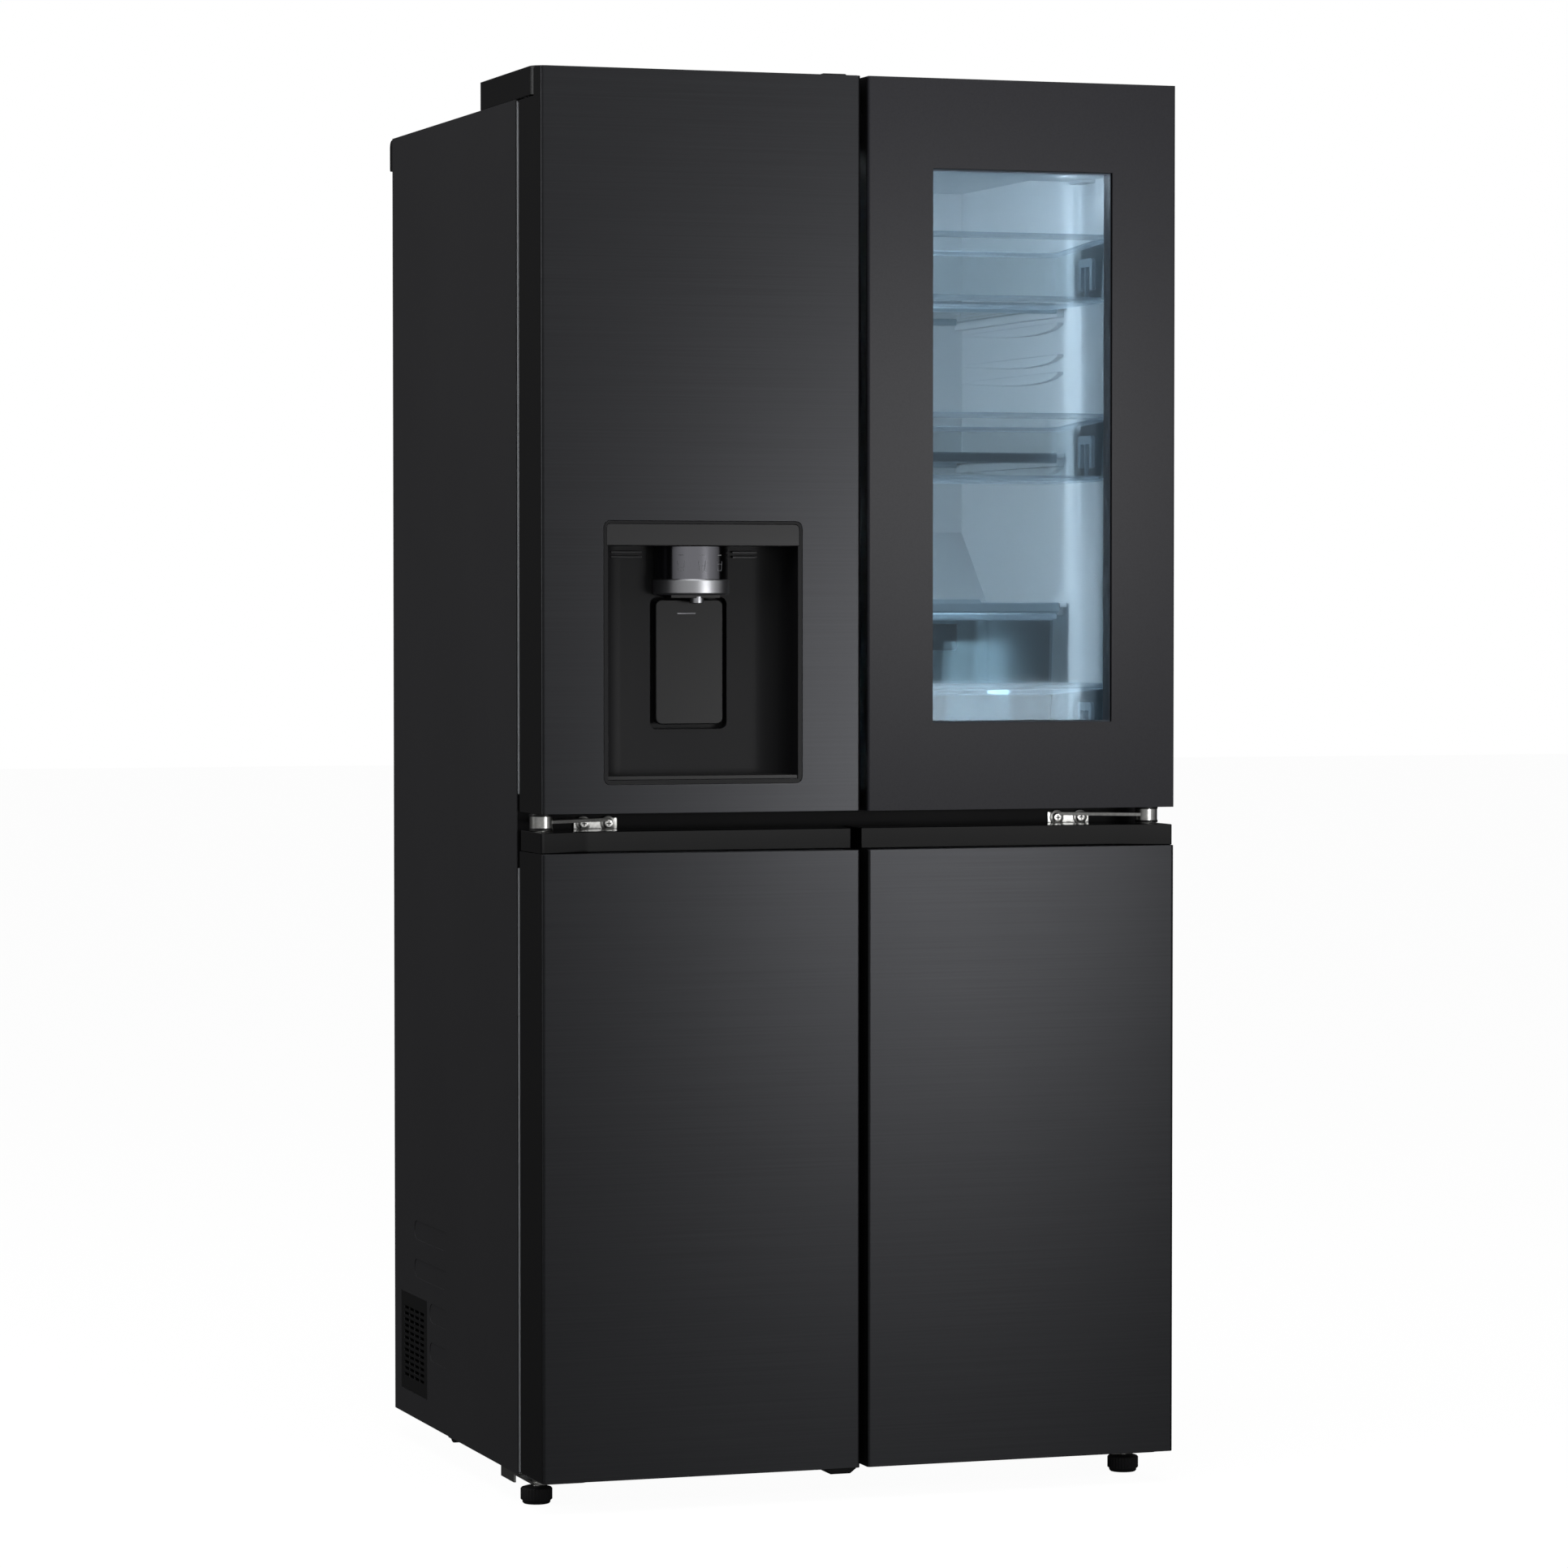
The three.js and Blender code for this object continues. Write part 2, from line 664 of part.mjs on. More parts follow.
function bottomHinge(side) {
  const bracketWidth = 71;
  const bracketSheet = 3;
  const flangeHeight = 13;
  const washerRadius = 12;
  const outer = outerX - 1;
  const inner = outer - bracketWidth;
  const rear = cabinetFront + 80;
  const nose = pivotY - washerRadius;
  const plate = prismZ(roundedShape([[side * outer, rear], [side * outer, nose, 10], [side * inner, nose, 10],
    [side * inner, rear]]), [bracketTop - bracketSheet, bracketTop]);
  const flange = box(sideSpan(side, outer - bracketSheet, outer), [footY + footRadius + 2, rear],
    [bracketTop - flangeHeight, bracketTop]);
  const washer = cylinderZ(side * pivotX, pivotY, washerRadius, [bracketTop - 1, doorGround - fit]);
  const pin = cylinderZ(side * pivotX, pivotY, pinRadius, [bracketTop - 1, doorGround + pinReach]);
  const hole = cylinderZ(side * footX, footY, footStem + running, [0, baseHeight]);
  return cut(join(plate, flange, washer, pin), hole);
}

function foot(side) {
  const r = footRadius - 3;
  return turned([[0, 0], [r - 2, 0], [r, 4], [footRadius - 1.5, 6], [footRadius - 1.5, 20],
    [14, 22], [footStem, 22], [footStem, bracketTop], [0, bracketTop]], side * footX, footY, 32);
}

// ---------------------------------------------------------------- doors

function doorBlock(side, [y0, y1], zs) {
  return prismZ(roundedShape([[side * outerX, y1], [side * outerX, y0, doorEdgeRadius],
    [side * innerX, y0, doorEdgeRadius], [side * innerX, y1]], 3), zs);
}

function pinBore(side, zs) {
  return cylinderZ(side * pivotX, pivotY, pinRadius + running, zs);
}

// Finger groove behind the door's front edge, opening up or down.
function groove(side, zs) {
  return box(sideSpan(side, innerX + 12, outerX - gripRun), [front + grooveFront, front + grooveFront + grooveWidth],
    zs);
}

// The notch in the top outer corner that the hinge cover sits in, grown by a margin.
function hingeNotch(side, grow) {
  return box(sideSpan(side, outerX - hingeCoverWidth - hingeNotchSide - grow, outerX + 1),
    [pivotY - pivotInset - hingeNotchFront - grow, doorRear + 1], [doorNotchFloor - grow, doorTop + 1]);
}

const linerFront = doorRear - doorBack;
const fridgeDoorZ = [fridgeDoorBottom, doorTop];
const freezerDoorZ = [doorGround, freezerDoorTop];

// What is taken out of every piece of an upper or a freezer door: pin bores and the finger groove.
function fridgeDoorCuts(side) {
  return [pinBore(side, [fridgeDoorBottom - 1, fridgeDoorBottom + pinReach + 2]),
    pinBore(side, [doorNotchFloor - pinReach - 2, doorNotchFloor + 1]),
    groove(side, [fridgeDoorBottom - 1, fridgeDoorBottom + grooveHeight])];
}

function freezerDoorCuts(side) {
  return [pinBore(side, [doorGround - 1, doorGround + pinReach + 2]),
    pinBore(side, [freezerDoorTop - pinReach - 2, freezerDoorTop + 1]),
    groove(side, [freezerDoorTop - grooveHeight, freezerDoorTop + 1])];
}

// The space inside a door's skin, shrunk by a gap for what fills it.
function doorHollow(side, frontY, [z0, z1], gap) {
  const inset = sheet + gap;
  return box(sideSpan(side, innerX + inset, outerX - inset), [frontY + inset, linerFront + 0.2],
    [z0 + inset, z1 - inset]);
}

// A door's outer skin: a pan of sheet with its open side to the cabinet.
function doorSkin(side, frontY, zs) {
  return cut(doorBlock(side, [frontY, linerFront - fit], zs), doorHollow(side, frontY, zs, 0));
}

function fridgeDoorSkin(side, frontY) {
  const hollow = cut(doorHollow(side, frontY, fridgeDoorZ, 0), hingeNotch(side, sheet));
  return cut(doorBlock(side, [frontY, linerFront - fit], fridgeDoorZ), hollow, hingeNotch(side, 0),
    ...fridgeDoorCuts(side));
}

// Foam and inner plastic of a door in one piece: the filling, the back plate and a raised rim.
function fridgeDoorCore(side, frontY) {
  const filling = cut(doorHollow(side, frontY, fridgeDoorZ, fit), hingeNotch(side, sheet + fit));
  const plate = box(sideSpan(side, innerX + 1, outerX - 1), [linerFront, doorRear],
    [fridgeDoorBottom + 2, doorTop - 2]);
  const rim = frame(sideSpan(side, rimCentre, rimOuter), fridgeRimZ, [doorRear - 1, doorRear + rimDepth], rimWidth);
  return cut(join(filling, cut(plate, hingeNotch(side, sheet + fit)), rim), ...fridgeDoorCuts(side));
}

function dispenserOpening() {
  return prismY(roundedRectangle([dispenserX[0] - fit, dispenserX[1] + fit],
    [dispenserZ[0] - fit, dispenserZ[1] + fit], 8), [front - 1, front + dispenserDepth + fit]);
}

const glassRear = front + glassThickness + fit;

function windowOpening() {
  return box(windowX, [front - 1, cabinetRear], windowZ);
}

const innerPaneY = [front + glazingDepth - glassThickness, front + glazingDepth];
const binRecessX = [rimCentre + rimWidth, rimOuter - rimWidth];

// The right door is hollow behind its glazing, so that the bins reach forward into it.
function rightDoorCore() {
  const seat = box([windowX[0] - glazingOverlap, windowX[1] + glazingOverlap],
    [innerPaneY[0] - fit, innerPaneY[1] + 1], [windowZ[0] - glazingOverlap, windowZ[1] + glazingOverlap]);
  const recess = box(binRecessX, [innerPaneY[1] + fit, doorRear + 1], [fridgeRimZ[0] + rimWidth, windowZ[1]]);
  return cut(fridgeDoorCore(1, glassRear), windowOpening(), seat, recess);
}

function freezerDoorSkin(side) {
  return cut(doorSkin(side, front, freezerDoorZ), ...freezerDoorCuts(side));
}

function freezerDoorCore(side) {
  const plate = box(sideSpan(side, innerX + 1, outerX - 1), [linerFront, doorRear],
    [doorGround + 1, freezerDoorTop - 1]);
  const rim = frame(sideSpan(side, halfDivider + loose + 5, rimOuter), freezerRimZ,
    [doorRear - 1, doorRear + freezerRimDepth], rimWidth);
  return cut(join(doorHollow(side, front, freezerDoorZ, fit), plate, rim), ...freezerDoorCuts(side));
}

function frontGlass() {
  return prismZ(roundedShape([[outerX, front + glassThickness], [outerX, front, doorEdgeRadius - 1],
    [innerX, front, doorEdgeRadius - 1], [innerX, front + glassThickness]], 3), [fridgeDoorBottom, doorTop]);
}

function innerGlass() {
  const overlap = glazingOverlap - fit;
  return box([windowX[0] - overlap, windowX[1] + overlap], innerPaneY,
    [windowZ[0] - overlap, windowZ[1] + overlap]);
}

function gasket(side, zs) {
  return frame(sideSpan(side, innerX + gasketInnerInset, outerX - gasketInset), zs,
    [doorRear + fit, cabinetFront - 0.5], gasketWidth);
}

const fridgeGasketZ = [fridgeDoorBottom + 4, cabinetTop - 12];
const freezerGasketZ = [doorGround + gasketInset, freezerDoorTop - 3];

function centreFlap() {
  const xs = [-innerX - flapWidth, -innerX];
  const ys = [cabinetFront + fit, cabinetFront + fit + flapThickness];
  return prismZ(roundedRectangle(xs, ys, 2), [fridgeFloor + 8, fridgeCeiling - 8]);
}

function doorBin(floor) {
  return tray([binRecessX[0] + 1, binRecessX[1] - 1], [binFront, binRear], [floor, floor + binHeight],
    drawerWall, drawerWall);
}

// The middle bin shares out the height that the other two leave free.
const lowerBin = fridgeRimZ[0] + rimWidth + lowerBinRise;
const upperBin = windowZ[1] - binHeight - upperBinDrop;
const middleBin = lowerBin + binHeight + (upperBin - lowerBin - 2 * binHeight) * middleBinShare;

// An insulated box for ice on the back of the left door, with a chute through its floor.
function iceRoom() {
  const xs = [-rimOuter + rimWidth + 1, -rimCentre - rimWidth - 1];
  const ys = [doorRear + fit, iceRoomRear];
  const zs = [dispenserZ[1] + 14, fridgeRimZ[1] - rimWidth - 1];
  const wall = 12;
  const hollow = box([xs[0] + wall, xs[1] - wall], [ys[0] + wall, ys[1] - wall], [zs[0] + wall, zs[1] - wall]);
  const chute = box([-dispenserCentre - 40, -dispenserCentre + 40], [ys[0] + wall, ys[1] - wall],
    [zs[0] - 1, zs[0] + wall + 1]);
  return cut(box(xs, ys, zs), hollow, chute);
}

// The strip is nearly flush at the door's outer end and slopes back to the finger groove.
function gripStrip(side) {
  const rear = doorRear - 6;
  const zs = [freezerDoorTop + fit, gripTop];
  const strip = prismZ(roundedShape([[side * (outerX - 0.5), rear],
    [side * (outerX - 0.5), front + gripEndDepth, 3], [side * (outerX - gripRun), front + gripDepth, 30],
    [side * (innerX + 2), front + gripDepth, 2], [side * (innerX + 2), rear]], 5), zs);
  return cut(strip, pinBore(side, [zs[0] - 1, zs[1] + 1]));
}

// ---------------------------------------------------------------- dispenser

// The recess: flat back, with sides that curve out to the front.
function dispenserCavity(grow, zs) {
  const x0 = dispenserX[0] + dispenserRim - grow;
  const x1 = dispenserX[1] - dispenserRim + grow;
  const back = front + cavityDepth + grow;
  return prismZ(roundedShape([[x0, front - 1], [x0, back, cavityCurve], [x1, back, cavityCurve],
    [x1, front - 1]], 6), zs);
}

const cavityFloor = dispenserZ[0] + dispenserRim;
const trayTop = cavityFloor + 5;

function panelShape(margin) {
  const [x0, x1] = [dispenserX[0] + margin, dispenserX[1] - margin];
  const [z0, z1] = [cavityTop + margin - dispenserRim + 2, dispenserZ[1] - margin];
  return roundedShape([[x0, z0], [x1, z0], [x1, z1, 6], [x0, z1, 6]]);
}

// The paddle's outline, or with a margin that of the recess it swings into.
function paddleShape(margin) {
  const half = paddleWidth / 2 + margin;
  return roundedRectangle([-dispenserCentre - half, -dispenserCentre + half],
    [paddleTop - paddleHeight - margin, paddleTop - 1 + margin / 2], 8);
}

function dispenserHousing() {
  const block = prismY(roundedRectangle(dispenserX, dispenserZ, 8), [front, front + dispenserDepth]);
  const seat = prismY(panelShape(dispenserRim - 2), [front - 1, front + panelDepth + fit]);
  const recess = prismY(paddleShape(paddleMargin), [front, front + cavityDepth + paddleRecess]);
  return cut(block, dispenserCavity(0, [cavityFloor, cavityTop]), seat, recess);
}

function dispenserPanel() {
  return prismY(panelShape(dispenserRim - 2 + fit), [front + 0.2, front + panelDepth]);
}

function iceChute() {
  const z = cavityTop - fit;
  const low = z - chuteHeight;
  const ring = chuteRadius + 1.5;
  const body = turned([[0, low], [ring - 2, low], [ring, low + 2], [ring, low + ringHeight - 1],
    [chuteRadius, low + ringHeight], [chuteRadius, z], [0, z]], -dispenserCentre, chuteY, 40);
  const spout = box([-dispenserCentre - 32, -dispenserCentre + 32], [chuteY - 20, chuteY + 6],
    [low - 4, low + 1]);
  const behind = box([dispenserX[0], dispenserX[1]], [front + cavityDepth - fit, cabinetFront], [low - 9, z + 1]);
  return cut(join(body, spout), behind);
}

function paddle() {
  return prismY(paddleShape(0), [front + paddleDepth, front + paddleDepth + paddleThickness]);
}

function dripTray() {
  const slab = dispenserCavity(-fit, [cavityFloor + fit, trayTop]);
  const clip = box(dispenserX, [front - 2, front + 2], [cavityFloor - 1, trayTop + 1]);
  const slots = [];
  const pitch = 12;
  for (let y = front + 12; y < front + cavityDepth - 12; y += pitch) {
    slots.push(box([-dispenserCentre - 70, -dispenserCentre + 70], [y, y + 5], [cavityFloor, trayTop + 1]));
  }
  return cut(slab, clip, ...slots);
}

// ---------------------------------------------------------------- the assembly

addPiece('foam_body', foamBody(), foam);
addPiece('outer_case', outerCase(), caseSteel);
addPiece('side_grille', sideGrille(), blackPlastic);
addPiece('back_panel', backPanel(), zinc);
addPiece('machine_cover', machineCover(), blackPlastic);
addPiece('front_rail', frontRail(), caseSteel);
addPiece('fridge_liner', fridgeLiner(), liningPlastic);
addPiece('freezer_liner', freezerLiner(), liningPlastic);
addPiece('upper_shelf', shelf(upperShelf, shelfFrontY, shelfRear), clearGlass);
addPiece('middle_shelf', shelf(middleShelf, shelfFrontY, shelfRear), clearGlass);
addPiece('crisper_shelf', shelf(crisperShelf, crisperFrontY, cavityRear - ductDepth - loose), clearGlass);
addPiece('crisper_drawer', crisperDrawer(), clearGlass);
addPiece('compressor', compressor(), castBlack);
addPiece('base_plate', baseWithRollerForks(), zinc);
addPiece('top_centre_cap', topCentreCap(), blackPlastic);
addPiece('bottom_centre_cap', bottomCentreCap(), blackPlastic);

for (const [side, name] of [[-1, 'left'], [1, 'right']]) {
  addPiece(`rear_spacer_${name}`, rearSpacer(side), blackPlastic);
  addPiece(`hinge_cover_${name}`, hingeCover(side), blackPlastic);
  addPiece(`top_hinge_${name}`, topHinge(side), zinc);
  addPiece(`middle_hinge_${name}`, middleHinge(side), zinc);
  addPiece(`bottom_hinge_${name}`, bottomHinge(side), zinc);
  addPiece(`foot_${name}`, foot(side), blackPlastic);
  addPiece(`roller_${name}`, roller(side), blackPlastic);
  addPiece(`freezer_drawer_${name}_upper`, freezerDrawer(side, false), clearGlass);
  addPiece(`freezer_drawer_${name}_lower`, freezerDrawer(side, true), clearGlass);
  addPiece(`freezer_door_${name}_skin`, freezerDoorSkin(side), brushedSteel);
  addPiece(`freezer_door_${name}_core`, freezerDoorCore(side), liningPlastic);
  addPiece(`freezer_door_${name}_gasket`, gasket(side, freezerGasketZ), rubber);
  addPiece(`freezer_door_${name}_grip`, gripStrip(side), blackPlastic);
  addPiece(`fridge_door_${name}_gasket`, gasket(side, fridgeGasketZ), rubber);
}

addPiece('fridge_door_left_skin', cut(fridgeDoorSkin(-1, front), dispenserOpening()), brushedSteel);
addPiece('fridge_door_left_core', cut(fridgeDoorCore(-1, front), dispenserOpening()), liningPlastic);
addPiece('fridge_door_left_ice_room', iceRoom(), liningPlastic);
addPiece('centre_flap', centreFlap(), blackPlastic);
addPiece('dispenser_housing', dispenserHousing(), blackPlastic);
addPiece('dispenser_panel', dispenserPanel(), glossBlack);
addPiece('dispenser_chute', iceChute(), chrome);
addPiece('dispenser_paddle', paddle(), glossBlack);
addPiece('drip_tray', dripTray(), blackPlastic);

addPiece('fridge_door_right_frame', cut(fridgeDoorSkin(1, glassRear), windowOpening()), blackPlastic);
addPiece('fridge_door_right_core', rightDoorCore(), liningPlastic);
addPiece('fridge_door_right_glass', frontGlass(), darkGlass);
addPiece('fridge_door_right_inner_glass', innerGlass(), clearGlass);
addPiece('door_bin_lower', doorBin(lowerBin), clearGlass);
addPiece('door_bin_middle', doorBin(middleBin), clearGlass);
addPiece('door_bin_upper', doorBin(upperBin), clearGlass);

export default refrigerator;
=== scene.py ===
"""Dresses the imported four-door refrigerator: its finishes, moulded details, cabinet light and studio."""

import json
import math

import bmesh
import bpy
from bpy.props import FloatProperty, FloatVectorProperty, PointerProperty
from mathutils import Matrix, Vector

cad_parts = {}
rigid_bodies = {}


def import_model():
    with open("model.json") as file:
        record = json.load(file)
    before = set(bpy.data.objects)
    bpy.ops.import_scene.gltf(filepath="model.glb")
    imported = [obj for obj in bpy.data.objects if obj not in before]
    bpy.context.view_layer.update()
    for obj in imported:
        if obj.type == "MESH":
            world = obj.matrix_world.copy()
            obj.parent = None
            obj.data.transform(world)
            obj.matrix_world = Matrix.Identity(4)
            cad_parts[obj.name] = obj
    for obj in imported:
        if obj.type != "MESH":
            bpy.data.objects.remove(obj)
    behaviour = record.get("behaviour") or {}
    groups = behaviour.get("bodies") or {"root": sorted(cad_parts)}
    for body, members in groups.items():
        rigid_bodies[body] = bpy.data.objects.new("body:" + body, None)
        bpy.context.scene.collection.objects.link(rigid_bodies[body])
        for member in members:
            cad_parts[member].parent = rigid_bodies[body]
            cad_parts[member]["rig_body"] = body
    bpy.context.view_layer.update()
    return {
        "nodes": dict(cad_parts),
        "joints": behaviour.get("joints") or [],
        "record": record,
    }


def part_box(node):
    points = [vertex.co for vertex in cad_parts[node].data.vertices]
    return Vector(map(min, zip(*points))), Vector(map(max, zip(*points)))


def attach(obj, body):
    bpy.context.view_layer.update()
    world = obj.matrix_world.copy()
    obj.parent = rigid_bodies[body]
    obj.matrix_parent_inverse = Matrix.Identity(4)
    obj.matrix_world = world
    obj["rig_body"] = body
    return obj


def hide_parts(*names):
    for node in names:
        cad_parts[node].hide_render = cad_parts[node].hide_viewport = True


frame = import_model()

bl_info = {
    "name": "Four-door refrigerator",
    "version": (1, 0, 0),
    "blender": (4, 5, 0),
    "location": "3D View > Sidebar > Refrigerator",
    "description": "Builds the visible pieces, finishes and studio of a four-door refrigerator",
    "category": "Object",
}

WELD = 0.00002
FLAT = math.radians(0.6)
SHARP = math.radians(38)
QUARTER = math.radians(90)
SIDES = (("left", -1), ("right", 1))


# ---------------------------------------------------------------- settings


def length(name, description, default, low, high):
    """A length in metres."""
    return FloatProperty(name=name, description=description, default=default, min=low, max=high,
                         subtype="DISTANCE", unit="LENGTH")


def share(name, description, default, high=1.0):
    """A plain number from zero up to a limit."""
    return FloatProperty(name=name, description=description, default=default, min=0.0, max=high,
                         subtype="FACTOR")


def power(name, description, default, high=50.0):
    """The power of a light."""
    return FloatProperty(name=name, description=description, default=default, min=0.0, max=high, unit="POWER")


def turn(name, description, degrees):
    """An angle, with its default given in degrees."""
    return FloatProperty(name=name, description=description, default=math.radians(degrees), subtype="ANGLE",
                         unit="ROTATION")


def colour(name, description, default):
    """A linear colour."""
    return FloatVectorProperty(name=name, description=description, default=default, size=3, min=0.0, max=1.0,
                               subtype="COLOR")


class FinishSettings(bpy.types.PropertyGroup):
    """Colours and surface sizes of the finishes."""

    steel: colour("Brushed steel", "Colour of the dark brushed steel fronts", (0.055, 0.056, 0.060))
    steel_roughness: share("Steel roughness", "Mean roughness of the brushed fronts", 0.42)
    glass_roughness: share("Glass roughness", "Roughness of the satin glass front", 0.42)
    paint: colour("Case paint", "Colour of the textured paint on the case", (0.055, 0.055, 0.059))
    satin: colour("Satin black", "Colour of the satin black mouldings", (0.010, 0.010, 0.011))
    gloss: colour("Gloss black", "Colour of the gloss black mouldings", (0.007, 0.007, 0.008))
    panel: colour("Panel grey", "Colour of the flat panel over the dispenser", (0.032, 0.032, 0.034))
    zinc: colour("Zinc plate", "Colour of the bright zinc on hinges and feet", (0.62, 0.62, 0.60))
    dark_chrome: colour("Dark chrome", "Colour of the plated ice chute", (0.20, 0.20, 0.22))
    silver: colour("Silver", "Colour of the plated ring and spout", (0.72, 0.73, 0.76))
    border: colour("Glass border", "Colour of the print behind the door glass", (0.029, 0.029, 0.037))
    window_tint: colour("Window tint", "Colour that the smoked window lets through", (0.80, 0.84, 0.875))
    lining: colour("Lining", "Colour of the inner plastic", (0.80, 0.83, 0.86))
    clear: colour("Clear plastic", "Colour that the bins and drawers let through", (0.96, 0.98, 0.99))
    rubber: colour("Door seal", "Colour of the door seals", (0.018, 0.018, 0.020))
    edge: length("Edge rounding", "Rounding of the folded sheet edges", 0.0007, 0.0001, 0.003)


class InsideSettings(bpy.types.PropertyGroup):
    """Sizes and light of the pieces inside the compartments."""

    lamp_width: length("Lamp width", "Width of the lamp under the ceiling", 0.42, 0.1, 0.6)
    lamp_power: power("Lamp power", "Light of the cabinet lamp", 0.8)
    wall_power: power("Wall power", "Light of the upright lamp by the left wall", 6.2)
    crisper_power: power("Crisper power", "Light inside the crisper", 0.9)
    door_power: power("Door power", "Light of the strip in the window door", 0.15)
    lamp_colour: colour("Lamp colour", "Colour of the cabinet lamp", (0.93, 0.97, 1.0))
    crisper_colour: colour("Crisper colour", "Colour of the light inside the crisper", (0.74, 0.93, 1.0))
    bin_corner: length("Bin corner", "Radius of the corners of the door bins", 0.016, 0.002, 0.04)
    drawer_corner: length("Drawer corner", "Radius of the corners of the drawers", 0.012, 0.002, 0.04)
    rim: length("Rim", "Width of the rim along the top of bins and drawers", 0.004, 0.001, 0.01)


class StageSettings(bpy.types.PropertyGroup):
    """Camera and studio light."""

    camera_place: FloatVectorProperty(name="Camera place", description="Where the camera stands",
                                      default=(-2.2688, -6.7469, 1.1189), size=3, subtype="TRANSLATION",
                                      unit="LENGTH")
    camera_tilt: turn("Camera tilt", "Angle of the camera below the horizon", 1.890)
    camera_turn: turn("Camera turn", "Angle of the camera to the right", 18.725)
    lens: FloatProperty(name="Lens", description="Focal length in millimetres on a 36 mm sensor",
                        default=124.97, min=20.0, max=300.0, subtype="DISTANCE_CAMERA", unit="CAMERA")
    key_power: power("Key power", "Light of the large front softbox", 6.0, 2000.0)
    fill_power: power("Fill power", "Light of the overhead softbox", 60.0, 2000.0)
    side_power: power("Side power", "Light of the softbox on the left", 22.0, 2000.0)
    glass_power: power("Glass power", "Light of the softbox for the window door", 3.6, 2000.0)
    left_door_power: power("Left door power", "Light of the softbox for the upper left door", 1.5, 2000.0)
    surround: share("Surround", "Light from the sides and the back of the studio", 0.085)
    horizon: share("Horizon", "Light of the band in front of the object", 0.9, 4.0)


# ---------------------------------------------------------------- shader helpers


def add(tree, kind, settings=None, inputs=None):
    """A node with its settings, and inputs given as values or as sockets to link."""
    made = tree.nodes.new(kind)
    for name, value in (settings or {}).items():
        setattr(made, name, value)
    for name, value in (inputs or {}).items():
        socket = made.inputs[name]
        if isinstance(value, bpy.types.NodeSocket):
            tree.links.new(value, socket)
        else:
            socket.default_value = value
    return made


def maths(tree, operation, first, second=0.0, clamp=False):
    """The output of a Math node."""
    settings = {"operation": operation, "use_clamp": clamp}
    return add(tree, "ShaderNodeMath", settings, {0: first, 1: second}).outputs[0]


def remap(tree, value, old, new):
    """A value moved from one range to another."""
    inputs = {"Value": value, "From Min": old[0], "From Max": old[1], "To Min": new[0], "To Max": new[1]}
    return add(tree, "ShaderNodeMapRange", {}, inputs).outputs["Result"]


def stretched(tree, vector, scale):
    """A vector with each axis scaled."""
    return add(tree, "ShaderNodeMapping", {}, {"Vector": vector, "Scale": scale}).outputs["Vector"]


def noise(tree, vector, scale, detail):
    """The value of a noise texture, from 0 to 1."""
    inputs = {"Vector": vector, "Scale": scale, "Detail": detail}
    return add(tree, "ShaderNodeTexNoise", {}, inputs).outputs["Fac"]


def new_group(name, inputs, outputs):
    """A shader node group with its sockets, and the nodes that stand for them."""
    tree = bpy.data.node_groups.new(name, "ShaderNodeTree")
    for label, kind, default in inputs:
        socket = tree.interface.new_socket(label, in_out="INPUT", socket_type=kind)
        if default is not None:
            socket.default_value = default
    for label, kind in outputs:
        tree.interface.new_socket(label, in_out="OUTPUT", socket_type=kind)
    return tree, tree.nodes.new("NodeGroupInput"), tree.nodes.new("NodeGroupOutput")


def grain_group():
    """Fine lines brushed level: long along X and Y, and narrow along Z."""
    found = bpy.data.node_groups.get("Brushed lines")
    if found:
        return found
    tree, given, made = new_group(
        "Brushed lines",
        [("Vector", "NodeSocketVector", None), ("Fineness", "NodeSocketFloat", 1.0)],
        [("Height", "NodeSocketFloat"), ("Streaks", "NodeSocketFloat")],
    )
    drawn = stretched(tree, given.outputs["Vector"], (9.0, 9.0, 2600.0))
    lines = add(tree, "ShaderNodeVectorMath", {"operation": "SCALE"},
                {0: drawn, "Scale": given.outputs["Fineness"]})
    streaks = stretched(tree, given.outputs["Vector"], (3.0, 3.0, 420.0))
    tree.links.new(noise(tree, lines.outputs["Vector"], 1.0, 3.0), made.inputs["Height"])
    tree.links.new(noise(tree, streaks, 1.0, 4.0), made.inputs["Streaks"])
    return tree


def texture_group():
    """The fine pebble of textured paint and moulded plastic."""
    found = bpy.data.node_groups.get("Fine pebble")
    if found:
        return found
    tree, given, made = new_group(
        "Fine pebble",
        [("Vector", "NodeSocketVector", None), ("Scale", "NodeSocketFloat", 900.0)],
        [("Height", "NodeSocketFloat"), ("Tone", "NodeSocketFloat")],
    )
    cells = add(tree, "ShaderNodeTexVoronoi", {"feature": "SMOOTH_F1"},
                {"Vector": given.outputs["Vector"], "Scale": given.outputs["Scale"]})
    fine = noise(tree, given.outputs["Vector"], 1400.0, 2.0)
    tree.links.new(maths(tree, "ADD", cells.outputs["Distance"], fine), made.inputs["Height"])
    tree.links.new(noise(tree, given.outputs["Vector"], 3.0, 3.0), made.inputs["Tone"])
    return tree


def handling_group():
    """Faint smears that change how rough a wiped surface is."""
    found = bpy.data.node_groups.get("Handling")
    if found:
        return found
    tree, given, made = new_group(
        "Handling",
        [("Vector", "NodeSocketVector", None), ("Roughness", "NodeSocketFloat", 0.3),
         ("Spread", "NodeSocketFloat", 0.05)],
        [("Roughness", "NodeSocketFloat")],
    )
    wiped = noise(tree, stretched(tree, given.outputs["Vector"], (6.0, 6.0, 2.5)), 1.0, 5.0)
    change = maths(tree, "MULTIPLY", maths(tree, "SUBTRACT", wiped, 0.5), given.outputs["Spread"])
    tree.links.new(maths(tree, "ADD", given.outputs["Roughness"], change, True), made.inputs["Roughness"])
    return tree


